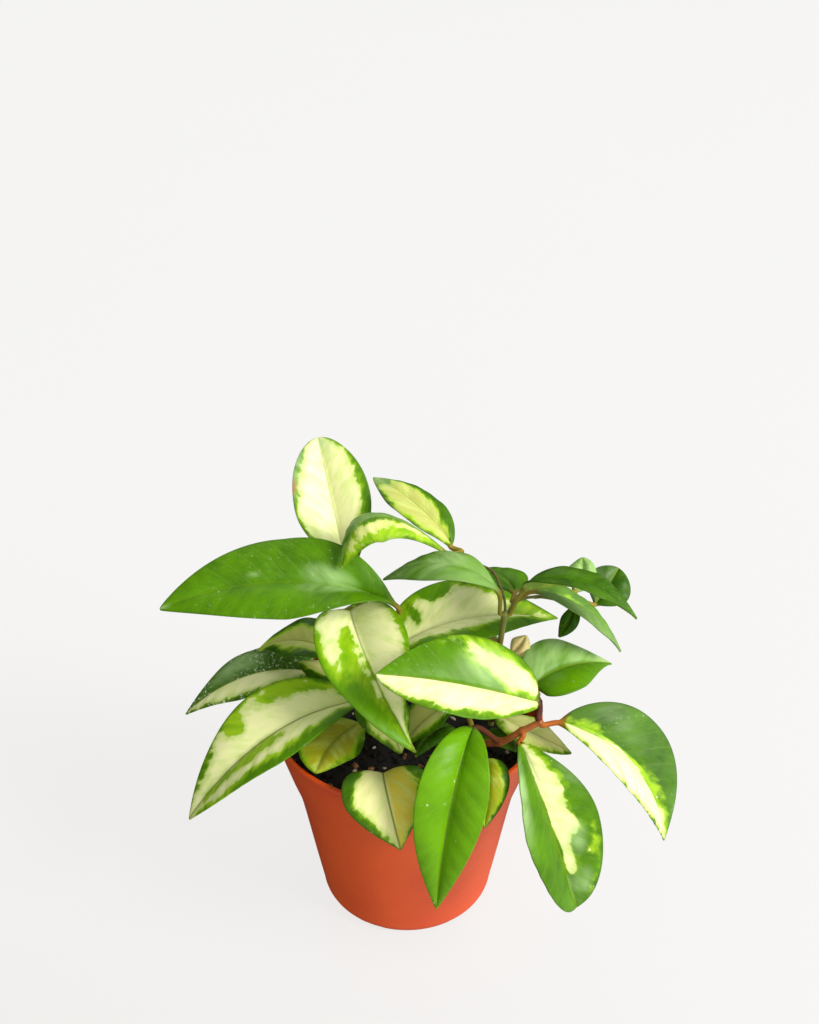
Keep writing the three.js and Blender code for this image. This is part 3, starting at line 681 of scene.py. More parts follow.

# %% [markdown]
# ### The leaves, one by one
#
# The places repeat those of the CAD model, in millimetres, and only a few stand a millimetre or two off,
# where a gap showed that the plant doesn't have. The markings follow the plant: most leaves that grew
# early are cream with a green edge, some reverted to plain green, and the ones on the soil have aged to
# olive.
#
# Each row says the leaf's name, its vine and the point of the vine where it stands, then the base, the
# middle of the rib and the tip, and how the left and the right edge lie from the rib. What a row leaves
# out is usual:
#
# - outline: where it is widest, and how full it is toward the base and the tip; left_outline for a left
#   half of its own, and channel for how far the halves fold up at the base, in degrees
# - green: the share of green edge of each half-blade, lime_band: the yellow-green step beside the cream,
#   in mm
# - age: the cream of each half, from fresh, 0, over gold, 1, to olive, 2, and a painted shade greys it
# - depth: the green, from bright, 0, to dark, 1
# - painted sheen on each half, pale green where a leaf would mirror the room, silver: pale flecks, rim: the
#   dark outline, rib_tone: the colour of the rib and the painted shade of its groove
# - ripe: the stalk, from olive, 0, over red-brown, 1, to nearly black, 2, and slim makes it thinner
# - wither: dry and tan, and spots: tone, place along and across, and size along and across

# %% Leaves at the top and in the middle
USUAL = {
    "outline": (0.45, 0.65, 0.9), "channel": BASE_CHANNEL, "green": (1.2, 1.2), "lime_band": 0.8,
    "age": (0.12, 0.12), "dull": 0.0, "depth": 0.45, "bloom": (0, 0), "silver": 0.5, "rim": 0.35,
    "rib_tone": 0.5, "ripe": 0.15, "slim": 1.0, "wither": 0.0, "spots": (),
}


def row(name, on, base, rib, tip, left, right, **marks):
    places = {"name": name, "on": on, "base": base, "rib": rib, "tip": tip, "left": left, "right": right}
    return {**USUAL, **places, **marks}


LEAVES = [
    row("leaf_top_upright", ("vine_crown", 5),
        (-20, 17, 127), (-26, 31, 148), (-32, 45, 171), (-13, -6, 2), (14, -2, 3),
        outline=(0.58, 0.85, 0.5), green=((0.02, 0.05, 0.12), (0.3, 0.22, 0.13)), lime_band=0.6, depth=0.5,
        age=(0.0, 0.12), rib_tone=0.25,
        spots=[("green", 0.3, -0.95, 0.08, 0.16), ("green", 0.85, -0.95, 0.08, 0.16),
               ("bloom", 0.98, 0.0, 0.12, 1.2), ("bloom", 0.82, -1.0, 0.24, 0.4),
               ("blush", 0.72, -1.0, 0.07, 0.14)]),
    row("leaf_top_right", ("vine_fork_top", 5),
        (15.5, 18.5, 141.5), (5, 28, 151), (-12, 42, 156), (-7.8, -10, 4.6), (5, 7, 1),
        outline=(0.5, 0.7, 0.8), green=((0.1, 0.04, 0.12), (0.9, 0.42, 0.3)), age=(0.2, 0.2), dull=0.75,
        depth=0.75,
        spots=[("green", 0.96, -0.2, 0.1, 1.0), ("bloom", 1.0, -0.2, 0.24, 1.4)]),
    row("leaf_top_arched", ("vine_fork_top", 5),
        (13, 11, 144), (-11, 7, 160.5), (-22, -3, 146.5), (0, -11, -3), (0, 9.5, -5.5),
        outline=(0.52, 0.7, 0.75), green=(1.1, 1.2), lime_band=1.0, depth=0.5, bloom=(0.0, 0.5),
        age=(0.35, 0.1), silver=1.2,
        spots=[("lime", 0.45, -0.62, 0.42, 0.48), ("cream", 0.56, -0.44, 0.26, 0.24),
               ("cream", 0.2, -0.42, 0.14, 0.22), ("green", 0.42, 0.0, 0.5, 0.22)]),
    row("leaf_left_long", ("vine_crown", 4),
        (-4, -3, 131), (-42, -6, 142.5), (-83, -14, 137), (1, -16, -4), (-2, 15, 8),
        outline=(0.45, 1.1, 0.8), left_outline=(0.45, 0.75, 0.8), channel=56, green=(1.3, 1.3), depth=0.5,
        silver=0.6, rib_tone=0.15,
        spots=[("bloom", 0.27, -0.2, 0.2, 0.3), ("bloom", 0.3, 0.2, 0.14, 0.3),
               ("bloom", 1.0, 0.0, 0.05, 0.9), ("bloom", 0.62, 0.2, 0.03, 0.08)]),
    row("leaf_front_hanging", ("vine_crown", 5),
        (-20, 4, 124), (-11, -26, 118), (3, -45, 101), (15, 1, 7), (-14, -9, 3),
        outline=(0.36, 0.5, 0.95), left_outline=(0.34, 0.5, 1.8), channel=0,
        green=((0.1, 0.08, 0.1), (0.7, 1.1, 1.2)), lime_band=0.9, age=(0.1, 0.0), depth=-0.1, silver=0.6,
        spots=[("lime", 0.2, 0.5, 0.15, 0.3), ("cream", 0.07, 0.5, 0.1, 0.6),
               ("cream", 0.2, 0.7, 0.13, 0.24), ("cream", 0.33, 0.78, 0.1, 0.14),
               ("lime", 0.47, 0.3, 0.18, 0.2), ("lime", 0.68, 0.2, 0.18, 0.2),
               ("lime", 0.85, 0.3, 0.08, 0.2), ("cream", 0.4, 0.16, 0.08, 0.1),
               ("cream", 0.6, 0.12, 0.06, 0.08)]),
    row("leaf_centre", ("vine_red", 6),
        (44.3, -30.5, 110), (17, -38, 124), (-10, -42, 131), (2, -14.5, -2), (1, 15, 9),
        outline=(0.42, 0.55, 0.95), left_outline=(0.52, 0.6, 0.62),
        green=((0.08, 0.13, 0.02), (1.1, 1.15, 1.2)), lime_band=0.5, age=(0.0, 0.0), depth=0.42, silver=0.9,
        ripe=1.9,
        spots=[("cream", 0.13, 0.5, 0.16, 0.38), ("cream", 0.27, 0.62, 0.16, 0.28),
               ("cream", 0.37, 0.74, 0.1, 0.2), ("lime", 0.24, 1.0, 0.27, 0.25),
               ("green", 0.22, 1.0, 0.25, 0.1), ("bloom", 0.3, 0.45, 0.26, 0.5)]),
    row("leaf_behind_centre", ("vine_crown", 3),
        (-3, 9, 104), (22, 17, 111), (56, 26, 105), (-5, 12, 9), (4, -14, 1),
        outline=(0.42, 0.5, 0.95), green=((0.22, 0.12, 0.7), (0.35, 0.45, 0.7)), lime_band=1.0,
        age=(0.06, 0.06), depth=0.4, rib_tone=0.2,
        spots=[("lime", 0.1, -0.85, 0.1, 0.3), ("green", 0.2, -0.5, 0.03, 0.22),
               ("green", 0.36, -0.95, 0.1, 0.36), ("lime", 0.85, -0.4, 0.12, 0.4)]),
    row("leaf_fork_left", ("vine_fork", 3),
        (31, -6, 139), (13, -3, 148), (-8, 4, 137), (-4, -11, 1), (4, 11, -2),
        outline=(0.5, 0.9, 0.85), green=(1.3, 1.3), depth=0.45, rib_tone=0.1, slim=0.75, ripe=0.0,
        bloom=(0.45, 0.45),
        spots=[("bloom", 0.5, 0.1, 0.3, 1.2)]),
    row("leaf_fork_right", ("vine_fork", 3),
        (41, -6, 140), (60, -12, 145), (77, -18, 136), (3, 9.5, -0.5), (-3, -11, 6),
        outline=(0.42, 0.5, 0.95), green=((1.2, 1.3, 1.3), (1.1, 1.2, 1.3)), depth=0.75, rib_tone=0.3,
        slim=0.75, ripe=0.0,
        spots=[("lime", 0.12, 0.05, 0.16, 0.12)]),
    row("leaf_right_under", ("vine_fork_side", 1),
        (44, 1, 134), (62, 3, 125), (76, 0, 109), (2, 10, -3), (1, -11, 2),
        outline=(0.45, 0.65, 0.95), depth=0.55, slim=0.65, bloom=(0.2, 0.5),
        spots=[("lime", 0.22, 0.03, 0.26, 0.1), ("bloom", 0.9, 0.3, 0.15, 0.8)]),
    row("leaf_fork_behind", ("vine_fork_side", 1),
        (38, 9, 128), (33, 19, 128), (25, 30, 124), (-7, -5, 2), (8, 5, -1),
        depth=0.65),
    row("leaf_faded", ("vine_fork", 2),
        (37.4, 1, 107.5), (40.4, 1, 110.5), (42.4, 2, 114.5), (-3, 2, 1), (3, -2, 0),
        outline=(0.5, 0.65, 0.7), green=((0.0, 0.1, 0.3), (0.0, 0.05, 0.4)), age=(0.6, 0.6), wither=0.85),
]
print("leaves so far:", len(LEAVES))

# %% Leaves at the right, the front and the rim
LEAVES += [
    row("leaf_right_young", ("vine_fork_side", 3),
        (61, 19, 122), (64, 25, 125), (64, 29, 130), (-6, 1, 0), (5, 0, 0),
        outline=(0.5, 0.65, 0.6), depth=0.3, bloom=(0.9, 0.9)),
    row("leaf_right_round", ("vine_fork_side", 4),
        (69, 21, 115), (73, 25, 119), (78, 31, 124), (-6, 3, 4), (7, -4, -3),
        outline=(0.55, 0.65, 0.5), depth=0.9, bloom=(0.25, 0.0),
        spots=[("blush", 0.45, 0.2, 0.2, 0.25)]),
    row("leaf_right_bud", ("vine_fork_side", 3),
        (60, 10, 121), (58, 8, 116), (54.5, 6, 111), (3, -1, 0), (-3, 0, 1),
        channel=4, depth=0.8),
    row("leaf_right_middle", ("vine_red_top", 3),
        (44.3, -12.5, 103), (57, -5, 106), (74, 6, 99), (-4, 12, 4), (4, -13, 0),
        outline=(0.3, 0.5, 1.1), left_outline=(0.4, 0.55, 0.95), green=(1.3, 1.3), depth=0.4,
        bloom=(1.0, 0.0)),
    row("leaf_right_drooping", ("vine_red", 6),
        (52, -31, 102), (77, -35, 87), (90, -40, 57), (11, 12, 6), (-3, -14, 1),
        outline=(0.5, 0.65, 0.9), green=((1.2, 1.2, 1.1), (0.0, 0.0, 0.02)), lime_band=0.5, age=(0.05, 0.0),
        depth=0.75, rim=0.8, ripe=0.9, silver=0.9, bloom=(0.1, 0.0),
        spots=[("lime", 0.12, -0.2, 0.1, 0.2), ("lime", 0.7, -0.1, 0.1, 0.12),
               ("cream", 0.86, -0.04, 0.12, 0.12)]),
    row("leaf_right_hanging", ("vine_red", 5),
        (38, -37.2, 98.4), (46.5, -52, 80.5), (58.5, -56, 41), (16, 4, 3), (-8, -10, 2),
        outline=(0.6, 0.64, 0.45), green=((0.3, 0.46, 0.3), 1.2), lime_band=1.0, age=(0.1, 0.0), depth=0.55,
        ripe=0.9,
        spots=[("green", 1.0, -0.4, 0.17, 1.0), ("lime", 0.76, -0.8, 0.1, 0.12),
               ("green", 0.7, -0.52, 0.09, 0.2), ("green", 0.84, -0.6, 0.09, 0.35),
               ("green", 0.5, -0.7, 0.14, 0.24), ("bloom", 0.9, -0.35, 0.1, 0.5),
               ("bloom", 0.66, -0.45, 0.11, 0.26), ("bloom", 0.35, 0.95, 0.32, 0.28)]),
    row("leaf_front_green", ("vine_red", 4),
        (22, -39, 106), (15, -59, 93), (10, -67, 52), (11, -4, 2), (-12, -3, 3),
        outline=(0.5, 0.7, 0.9), green=(1.3, 1.3), depth=0.12, rim=0.15, silver=0.5, rib_tone=0.35,
        ripe=1.85),
    row("leaf_front_heart", ("vine_low", 2),
        (-8, -37, 84), (-6, -52, 86), (-2, -58, 70), (15, 1, 0), (-15, -1, 1),
        outline=(0.38, 0.42, 0.9), green=((0.3, 0.28, 0.25), (0.34, 0.25, 0.4)), age=(0.95, 0.28),
        depth=0.75, lime_band=0.4, rim=0.8, rib_tone=0.95),
    row("leaf_soil_left", ("vine_left", 1),
        (-17, -9, 83), (-26, -22, 85), (-31, -36, 84), (8, -8, 1), (-9, 8, 1),
        outline=(0.5, 0.65, 0.7), green=((0.3, 0.2, 0.12), (0.3, 0.25, 0.2)), age=(1.5, 1.6), depth=0.6,
        lime_band=1.4),
    row("leaf_middle_olive", ("vine_red", 3),
        (18, -17, 98), (8, -20, 95), (-1, -27, 88), (3, -7, 2), (-4, 9, 1),
        outline=(0.45, 0.65, 0.8), green=((0.3, 0.28, 0.3), 0.2), age=(0.3, 0.4), dull=0.5, depth=0.8),
    row("leaf_middle_dark", ("vine_red", 2),
        (16, -19, 89), (10, -24, 91), (3, -31, 87), (2, -5, 1), (-3, 5, 0),
        depth=0.8),
    row("leaf_right_tucked", ("vine_red", 2),
        (27, -17, 84), (32, -21, 87), (38, -27, 86), (3, 4, 0), (-3, -4, 1),
        outline=(0.45, 0.65, 0.8), depth=0.8),
    row("leaf_rim_olive", ("vine_red", 3),
        (27, -38, 91), (27, -49, 90), (26, -54, 76), (7, 0, 1), (-6, -3, 3),
        outline=(0.42, 0.6, 0.8), green=((0.5, 0.25, 0.2), (0.3, 0.15, 0.15)), age=(1.75, 1.65), depth=0.9,
        lime_band=0.2, rim=0.7),
    row("leaf_rim_right", ("vine_fork", 1),
        (33, -13, 89), (44, -24, 91), (57, -28, 86), (2, 9, -1), (-3, -7, 1),
        outline=(0.45, 0.6, 0.85), green=((0.12, 0.1, 0.12), (0.12, 0.08, 0.1)), age=(0.42, 0.38), depth=0.8),
    row("leaf_under_hanging", ("vine_left", 3),
        (-13, -15, 98), (-8, -23, 99), (-2, -34, 91), (8, 5, 1), (-8, -5, 0),
        outline=(0.45, 0.65, 0.8), green=((0.2, 0.2, 0.1), (0.3, 0.3, 0.1)), age=(0.2, 0.3), dull=0.2,
        depth=0.8),
]
print("leaves so far:", len(LEAVES))

# %% Leaves at the left and the back
LEAVES += [
    row("leaf_left_low", ("vine_left", 2),
        (-19, -12, 95), (-48, -26, 91), (-76, -36, 63), (6, -14, 2), (-9, 12, 7),
        outline=(0.45, 0.65, 0.85), green=((0.35, 0.28, 0.12), (0.2, 0.08, 0.12)), lime_band=1.4,
        age=(0.05, 0.05), dull=0.16, depth=0.45, silver=0.6, rib_tone=0.8,
        spots=[("lime", 0.26, 0.8, 0.22, 0.2), ("lime", 0.6, 0.74, 0.05, 0.3),
               ("green", 0.8, 0.9, 0.07, 0.25), ("lime", 0.56, -0.24, 0.16, 0.2),
               ("lime", 0.8, -0.24, 0.09, 0.22)]),
    row("leaf_left_dark", ("vine_left", 5),
        (-31, 8, 92), (-56, 6, 94), (-81, 2, 79), (2, -13, 1), (-3, 13, 1),
        green=((0.3, 0.12, 0.08), 1.1), age=(0.12, 0.12), depth=0.75, lime_band=0.3, silver=2.7,
        rib_tone=0.8, bloom=(0.0, 0.1),
        spots=[("bloom", 0.6, 0.5, 0.26, 0.55), ("bloom", 0.6, 0.45, 0.12, 0.3)]),
    row("leaf_left_upper", ("vine_left", 5),
        (-27, 4, 105), (-40, 10, 106), (-55, 15, 98), (-5.6, -11.6, 2.0), (5, 10, 3),
        left_outline=(0.33, 0.5, 1.1), green=((0.35, 0.3, 0.4), (0.6, 0.5, 0.8)), lime_band=1.2,
        age=(0.1, 0.2), dull=0.75, depth=0.8, rib_tone=0.8),
    row("leaf_left_narrow", ("vine_left", 4),
        (-23, -6, 98), (-31, -2, 101), (-39, 3, 102), (-2, -5, 1), (1.2, 6.8, 0.4),
        green=((0.6, 0.5, 0.4), 0.1), age=(0.4, 0.4), depth=0.9),
    row("leaf_back_left", ("vine_back", 4),
        (-10, 38, 87), (-27, 47, 86), (-45, 55, 62), (-5, -12, 2), (5, 12, 2),
        green=((0.2, 0.25, 0.2), (0.3, 0.35, 0.2)), age=(0.15, 0.2), depth=0.5, lime_band=1.2,
        spots=[("lime", 0.5, 0.3, 0.2, 0.25)]),
    row("leaf_back_middle", ("vine_back", 4),
        (-1, 42, 87), (-4, 58, 81), (-7, 67, 52), (-13, -1, 1), (12, 1, 1),
        outline=(0.45, 0.65, 0.85), green=((0.25, 0.2, 0.15), (1.1, 1.0, 0.5)), age=(0.1, 0.1), depth=0.45,
        lime_band=1.5, silver=0.9),
    row("leaf_back_right", ("vine_back", 2),
        (9, 34, 84), (24, 47, 86), (37, 56, 66), (-7, 8, 1), (10, -8, 1),
        green=(1.3, 1.3), depth=0.4),
    row("leaf_back_low", ("vine_back", 1),
        (-2, 25, 82), (-15, 27, 87), (-31, 29, 85), (-4, -9, 1), (3, 6, 0),
        outline=(0.45, 0.65, 0.85), depth=0.6),
    row("leaf_back_side", ("vine_fork", 1),
        (36, 7, 83), (46, 18, 88), (56, 31, 76), (-6, 8, 1), (7, -8, 1),
        green=(1.2, 0.9), age=(0.4, 0.4), depth=0.6),
]
rng = np.random.default_rng(7)
for leaf in LEAVES:
    leaf["waves"] = rng.uniform(1.2, 2.4)
    leaf["phase"] = rng.uniform(0, 1)
leaf_pieces = [make_leaf(leaf, number) for number, leaf in enumerate(LEAVES)]
print("leaves made:", len(leaf_pieces))

# %% [markdown]
# ## The vines' skin
#
# A hoya's stem is smooth and slightly ridged, swells at each joint where a leaf stands, and turns from
# olive green to red-brown where the sun reaches it. The newest shoots are thin and nearly black, and the
# red vine's young tip is darker still with painted shade. A tube along the spline, a little thicker at the
# joints, gives the form, and small pointed bud scales sit at the joints. The colour changes along the stem
# by broad noise, with small pale pores.

# %% The stem materials
def stem_material(name, young, ripe):
    """Grown bark, still thin: a dull satin that shows the round of the stem, mottled along its length."""
    material, tree = new_material(name)
    spot = add(tree, PLACE, output="Object")
    # Patches of 11 mm, pores 1.4 mm apart and a grain of 1 mm. The grain is coarser than the real one, to show.
    patches = add(tree, NOISE, [spot, scale_for(11.1) / MM, 3.0, 0.55])
    patches = add(tree, STEP, [patches, 0.35, 0.65], **SOFT)
    pores = add(tree, DOTS, [spot, scale_for(1.43) / MM])
    pores = add(tree, STEP, [pores, 0.0, 0.22, 0.5, 0.0], **SOFT)
    dark = add(tree, CARRIED, attribute_name="dark", output="Fac")
    colour = young
    for share, over in ((patches, ripe), (pores, "#c9b98a"), (dark, STALK_DARK)):
        colour = add(tree, MIX, [share, colour, over], **COLOURS)
    grain = add(tree, NOISE, [spot, scale_for(1.11) / MM, 4.0, 0.55])
    shader = add(tree, SHADER, {
        "Base Color": colour, "Roughness": 0.48, "IOR": 1.45,
        "Subsurface Weight": 0.08, "Subsurface Scale": 0.8 * MM,
        "Normal": add(tree, BUMP, {"Height": grain, "Strength": 0.4, "Distance": 0.2 * MM}),
    })
    add(tree, "ShaderNodeOutputMaterial", {"Surface": shader})
    return material


green_stem = stem_material("hoya_stem_olive_green", "#7d8740", "#6f6230")
red_stem = stem_material("hoya_stem_red_brown", "#b8662a", "#94501e")
print("stems:", green_stem.name, red_stem.name)

# %% A tube along a spline, swollen at its joints
STEM_SIDES = 18
STEM_STEPS = 10
JOINT_SWELL, JOINT_LENGTH = 0.35, 0.1
STEM_RIDGES, RIDGE_HEIGHT = 5, 0.03
SCALE_SIDES, SCALE_RADIUS = 5, 0.32


def stem_tube(vine):
    spans = len(vine["points"]) - 1
    first_radius, last_radius = vine.get("fine_radius", vine["radius"])
    rings = []
    side_way = np.array([1.0, 0.0, 0.0])
    for step in range(spans * STEM_STEPS + 1):
        t = step / (spans * STEM_STEPS)
        middle, way = spline(vine["points"], t)
        side_way = unit(side_way - way * (side_way @ way))
        other = np.cross(way, side_way)
        from_joint = abs(t * spans - round(t * spans)) if step > STEM_STEPS else 1.0
        radius = first_radius * (1 - t) + last_radius * t
        radius = radius * (1 + JOINT_SWELL * math.exp(-((from_joint / JOINT_LENGTH) ** 2)))
        angles = np.arange(STEM_SIDES) * 2 * math.pi / STEM_SIDES
        ridged = radius * (1 + RIDGE_HEIGHT * np.cos(STEM_RIDGES * angles))
        out = np.outer(ridged * np.cos(angles), side_way) + np.outer(ridged * np.sin(angles), other)
        rings.append(middle + out)
    # The growing end closes to a small dome.
    end = rings[-1].mean(axis=0)
    for lift, shrink in ((0.5, 0.8), (0.8, 0.4)):
        rings.append(end + way * radius * lift + (rings[spans * STEM_STEPS] - end) * shrink)
    return np.vstack(rings), skin_faces(len(rings), STEM_SIDES)


def bud_scales(vine, rng):
    """A pair of small pointed scales at each joint, as five-sided cones."""
    points, faces = [], []
    joints = len(vine["points"]) - 1
    for joint in range(2, joints + 1):
        middle, way = spline(vine["points"], joint / joints)
        for _ in range(2):
            out = rng.normal(size=3)
            out = unit(out - way * (out @ way))
            tip = middle + out * rng.uniform(1.0, 2.2) + way * rng.uniform(0.3, 1.0)
            other = np.cross(out, way)
            first = len(points)
            for a in np.arange(SCALE_SIDES) * 2 * math.pi / SCALE_SIDES:
                points.append(middle + out * 0.3 + SCALE_RADIUS * (way * math.cos(a) + other * math.sin(a)))
            points.append(tip)
            corners = [first + i for i in range(SCALE_SIDES)]
            faces += [(a, b, first + SCALE_SIDES) for a, b in zip(corners, corners[1:] + corners[:1])]
            faces.append(tuple(corners[::-1]))
    return np.array(points), faces


def make_vine(name):
    points, faces = stem_tube(VINES[name])
    dark = [0.0] * len(points)
    rng = np.random.default_rng(21)
    shoots = [vine for vine in VINES.values() if vine.get("grown_from") == name]
    parts = [(stem_tube(shoot), shoot.get("dark", 0.0)) for shoot in shoots]
    parts += [(bud_scales(vine, rng), 0.4) for vine in (VINES[name], *shoots)]
    for (more, more_faces), tone in parts:
        faces += [tuple(i + len(points) for i in face) for face in more_faces]
        points = np.vstack([points, more])
        dark += [tone] * len(more)
    red = name == "vine_red"
    piece = new_mesh(name + "_skin", points, faces, red_stem if red else green_stem)
    carry(piece.data, "dark", dark)
    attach(piece, "root")
    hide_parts(name)
    return piece


vine_pieces = [make_vine(name) for name, vine in VINES.items() if "grown_from" not in vine]
print("vines made:", len(vine_pieces))

# %% [markdown]
# ## The pot
#
# The pot is thin polypropylene, coloured like terracotta and injection moulded: an even body colour, a
# satin skin with a faint orange peel, and a few dust specks. A moulded pot has no grain, so its finish
# comes from roughness and very small relief. The wall leans out to a shoulder, steps, and flares to a
# rolled rim. Turning a profile round the axis is how the mould itself was cut, so the mesh is turned too,
# with enough steps that no facet shows.

# %% Polypropylene, moulded
# Injection moulded against a polished steel mould: a satin skin whose broad highlight turns round the wall.
pot_plastic, tree = new_material("polypropylene_terracotta_moulded")
spot = add(tree, PLACE, output="Object")
# The colour clouds over 45 mm and flows over 6 mm. Dust specks lie about 8 mm apart, in some places only.
cloud = add(tree, NOISE, [spot, scale_for(45) / MM, 4.0, 0.6])
clouded = add(tree, STEP, [cloud, 0.35, 0.7], **SOFT)
flow = add(tree, NOISE, [spot, scale_for(6.25) / MM, 4.0, 0.7])
flow = add(tree, STEP, [flow, 0.6, 0.8, 0.0, 0.15], **SOFT)
dust_size = add(tree, NOISE, [spot, scale_for(18.2) / MM, 1.0, 0.55])
dust_size = add(tree, STEP, [dust_size, 0.58, 0.72, 0.0, 0.09], **SOFT)
to_speck = add(tree, DOTS, [spot, scale_for(7.7) / MM])
to_speck = add(tree, MATH, [to_speck, dust_size], operation="SUBTRACT")
dust = add(tree, STEP, [to_speck, -0.02, 0.02, 0.7, 0.0], **SOFT)
body = "#e05410"
for share, colour in ((clouded, "#d4480a"), (flow, "#e5845a"), (dust, "#f0c7ad")):
    body = add(tree, MIX, [share, body, colour], **COLOURS)
# Orange peel is drawn at 0.7 mm, a little coarser than on the real wall, so that it shows.
peel = add(tree, NOISE, [spot, scale_for(0.714) / MM, 2.0, 0.55])
roughness = add(tree, MATH, [cloud, 0.15, 0.4], operation="MULTIPLY_ADD")
shader = add(tree, SHADER, {
    "Base Color": body, "Roughness": roughness, "IOR": 1.49, "Specular IOR Level": 0.5,
    "Subsurface Weight": 0.05, "Subsurface Radius": (1.0, 0.35, 0.15), "Subsurface Scale": 1.2 * MM,
    "Normal": add(tree, BUMP, {"Height": peel, "Strength": 0.12, "Distance": 0.1 * MM}),
})
add(tree, "ShaderNodeOutputMaterial", {"Surface": shader})
print("pot material:", pot_plastic.name)

# %% The pot's profile, in millimetres
RIM_RADIUS, POT_HEIGHT = 49.5, 82.5
SHOULDER_RADIUS, SHOULDER_HEIGHT = 40.4, 52.0
BASE_RADIUS, BASE_ROUNDING = 32.5, 6.5
WALL, FLOOR = 1.3, 1.6
LIP_WIDTH, LIP_HEIGHT = 1.7, 1.8
POT_SIDES = 144


def arc(centre, radius, start, end, steps):
    angles = np.radians(np.linspace(start, end, steps))
    return [(centre[0] + radius * math.cos(a), centre[1] + radius * math.sin(a)) for a in angles]


def pot_profile():
    wall = [(BASE_RADIUS, BASE_ROUNDING), (35.3, 22.0), (SHOULDER_RADIUS - 1.3, SHOULDER_HEIGHT - 8),
            (SHOULDER_RADIUS + 0.6, SHOULDER_HEIGHT + 1), (SHOULDER_RADIUS + 3.4, SHOULDER_HEIGHT + 10),
            (RIM_RADIUS - LIP_WIDTH + WALL, POT_HEIGHT - LIP_HEIGHT)]
    points = [(r, z, 0) for r, z in wall]
    outside = [spline(points, t)[0][:2] for t in np.linspace(0, 1, 44)]
    inside = [(r - WALL, z) for r, z in outside[::-1]]
    foot = arc((BASE_RADIUS - BASE_ROUNDING, BASE_ROUNDING), BASE_ROUNDING, -90, 0, 10)
    lip = [(RIM_RADIUS, POT_HEIGHT - LIP_HEIGHT + 0.3)]
    lip += arc((RIM_RADIUS - 0.6, POT_HEIGHT - 0.6), 0.6, 0, 90, 5)
    lip += arc((RIM_RADIUS - LIP_WIDTH + 0.4, POT_HEIGHT - 0.4), 0.4, 90, 180, 4)
    floor_edge = [(BASE_RADIUS - WALL - 3, FLOOR + 0.9), (BASE_RADIUS - BASE_ROUNDING, FLOOR)]
    return [(0, 0)] + foot[:-1] + outside + lip + inside + floor_edge + [(0, FLOOR)]


print("profile points:", len(pot_profile()))

# %% Turned on a lathe
def turned_faces(rows, sides):
    """Faces of a closed body: a fan at the first point, quads from ring to ring, a fan at the last point."""
    faces = [(0, 1 + (i + 1) % sides, 1 + i) for i in range(sides)]
    for first in range(1, 1 + (rows - 1) * sides, sides):
        for i in range(sides):
            a, b = first + i, first + (i + 1) % sides
            faces.append((a, b, b + sides, a + sides))
    last = 1 + (rows - 1) * sides
    faces += [(last + i, last + (i + 1) % sides, last + sides) for i in range(sides)]
    return faces


def lathe(profile, sides):
    """A closed body turned from a profile whose first and last points lie on the axis."""
    angles = np.arange(sides) * 2 * math.pi / sides
    points = [(0, 0, profile[0][1])]
    points += [(r * math.cos(a), r * math.sin(a), z) for r, z in profile[1:-1] for a in angles]
    points.append((0, 0, profile[-1][1]))
    return points, turned_faces(len(profile) - 2, sides)


DRAINS, FIRST_DRAIN_DEGREES = 6, -53.0
DRAIN_WIDTH, DRAIN_HEIGHT, DRAIN_START = 7.0, 3.0, 25.0


def cut_drains(piece):
    """Cuts the six slots through the rounded foot, and returns the piece with the cuts made."""
    points, faces = [], []
    length = BASE_RADIUS - DRAIN_START + 4
    for drain in range(DRAINS):
        a = math.radians(FIRST_DRAIN_DEGREES + drain * 360 / DRAINS)
        out = np.array([math.cos(a), math.sin(a), 0])
        side_way = np.array([-math.sin(a), math.cos(a), 0])
        first = len(points)
        for z in (-2.0, DRAIN_HEIGHT):
            for r, w in ((0, -1), (0, 1), (1, 1), (1, -1)):
                spot_here = out * (DRAIN_START + r * length) + side_way * w * DRAIN_WIDTH / 2
                points.append(spot_here + np.array([0, 0, z]))
        for quad in ((0, 1, 2, 3), (7, 6, 5, 4), (1, 0, 4, 5), (2, 1, 5, 6), (3, 2, 6, 7), (0, 3, 7, 4)):
            faces.append(tuple(first + i for i in quad))
    cutter = new_mesh("drain_cutter", points, faces, pot_plastic)
    cut = piece.modifiers.new("drains", "BOOLEAN")
    cut.operation, cut.object, cut.solver = "DIFFERENCE", cutter, "EXACT"
    bpy.context.view_layer.update()
    solved = piece.evaluated_get(bpy.context.evaluated_depsgraph_get())
    piece.data = bpy.data.meshes.new_from_object(solved)
    piece.modifiers.clear()
    bpy.data.objects.remove(cutter)
    return piece


pot_points, pot_faces = lathe(pot_profile(), POT_SIDES)
pot = cut_drains(new_mesh("pot_moulded", pot_points, pot_faces, pot_plastic))
pot.data.set_sharp_from_angle(angle=math.radians(38))
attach(pot, "root")
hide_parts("pot")
print("pot faces:", len(pot.data.polygons))

# %% [markdown]
# ## The soil
#
# Hoya mix is black peat with bark chips and white perlite, all loose. The peat is a lumpy sheet; on it
# lie crumbs, chips and beads as real small meshes, because their outlines and shadows are what makes soil
# look like soil. They are scattered by a seeded draw, so each run gives the same pot, and joined by kind
# to keep few pieces.

# %% Peat, bark and perlite
def crumb_material(name, dark, light, patch_mm, roughness):
    """Broken, fibrous or puffed grains: no sheen at all, and a colour that changes from grain to grain."""
    material, tree = new_material(name)
    spot = add(tree, PLACE, output="Object")
    patch = add(tree, NOISE, [spot, scale_for(patch_mm) / MM, 5.0, 0.65])
    patch = add(tree, STEP, [patch, 0.35, 0.7], **SOFT)
    grain = add(tree, NOISE, [spot, 6 * scale_for(patch_mm) / MM, 4.0, 0.7])
    shader = add(tree, SHADER, {
        "Base Color": add(tree, MIX, [patch, dark, light], **COLOURS), "Roughness": roughness,
        "Normal": add(tree, BUMP, {"Height": grain, "Strength": 0.7, "Distance": 0.3 * MM}),
    })
    add(tree, "ShaderNodeOutputMaterial", {"Surface": shader})
    return material
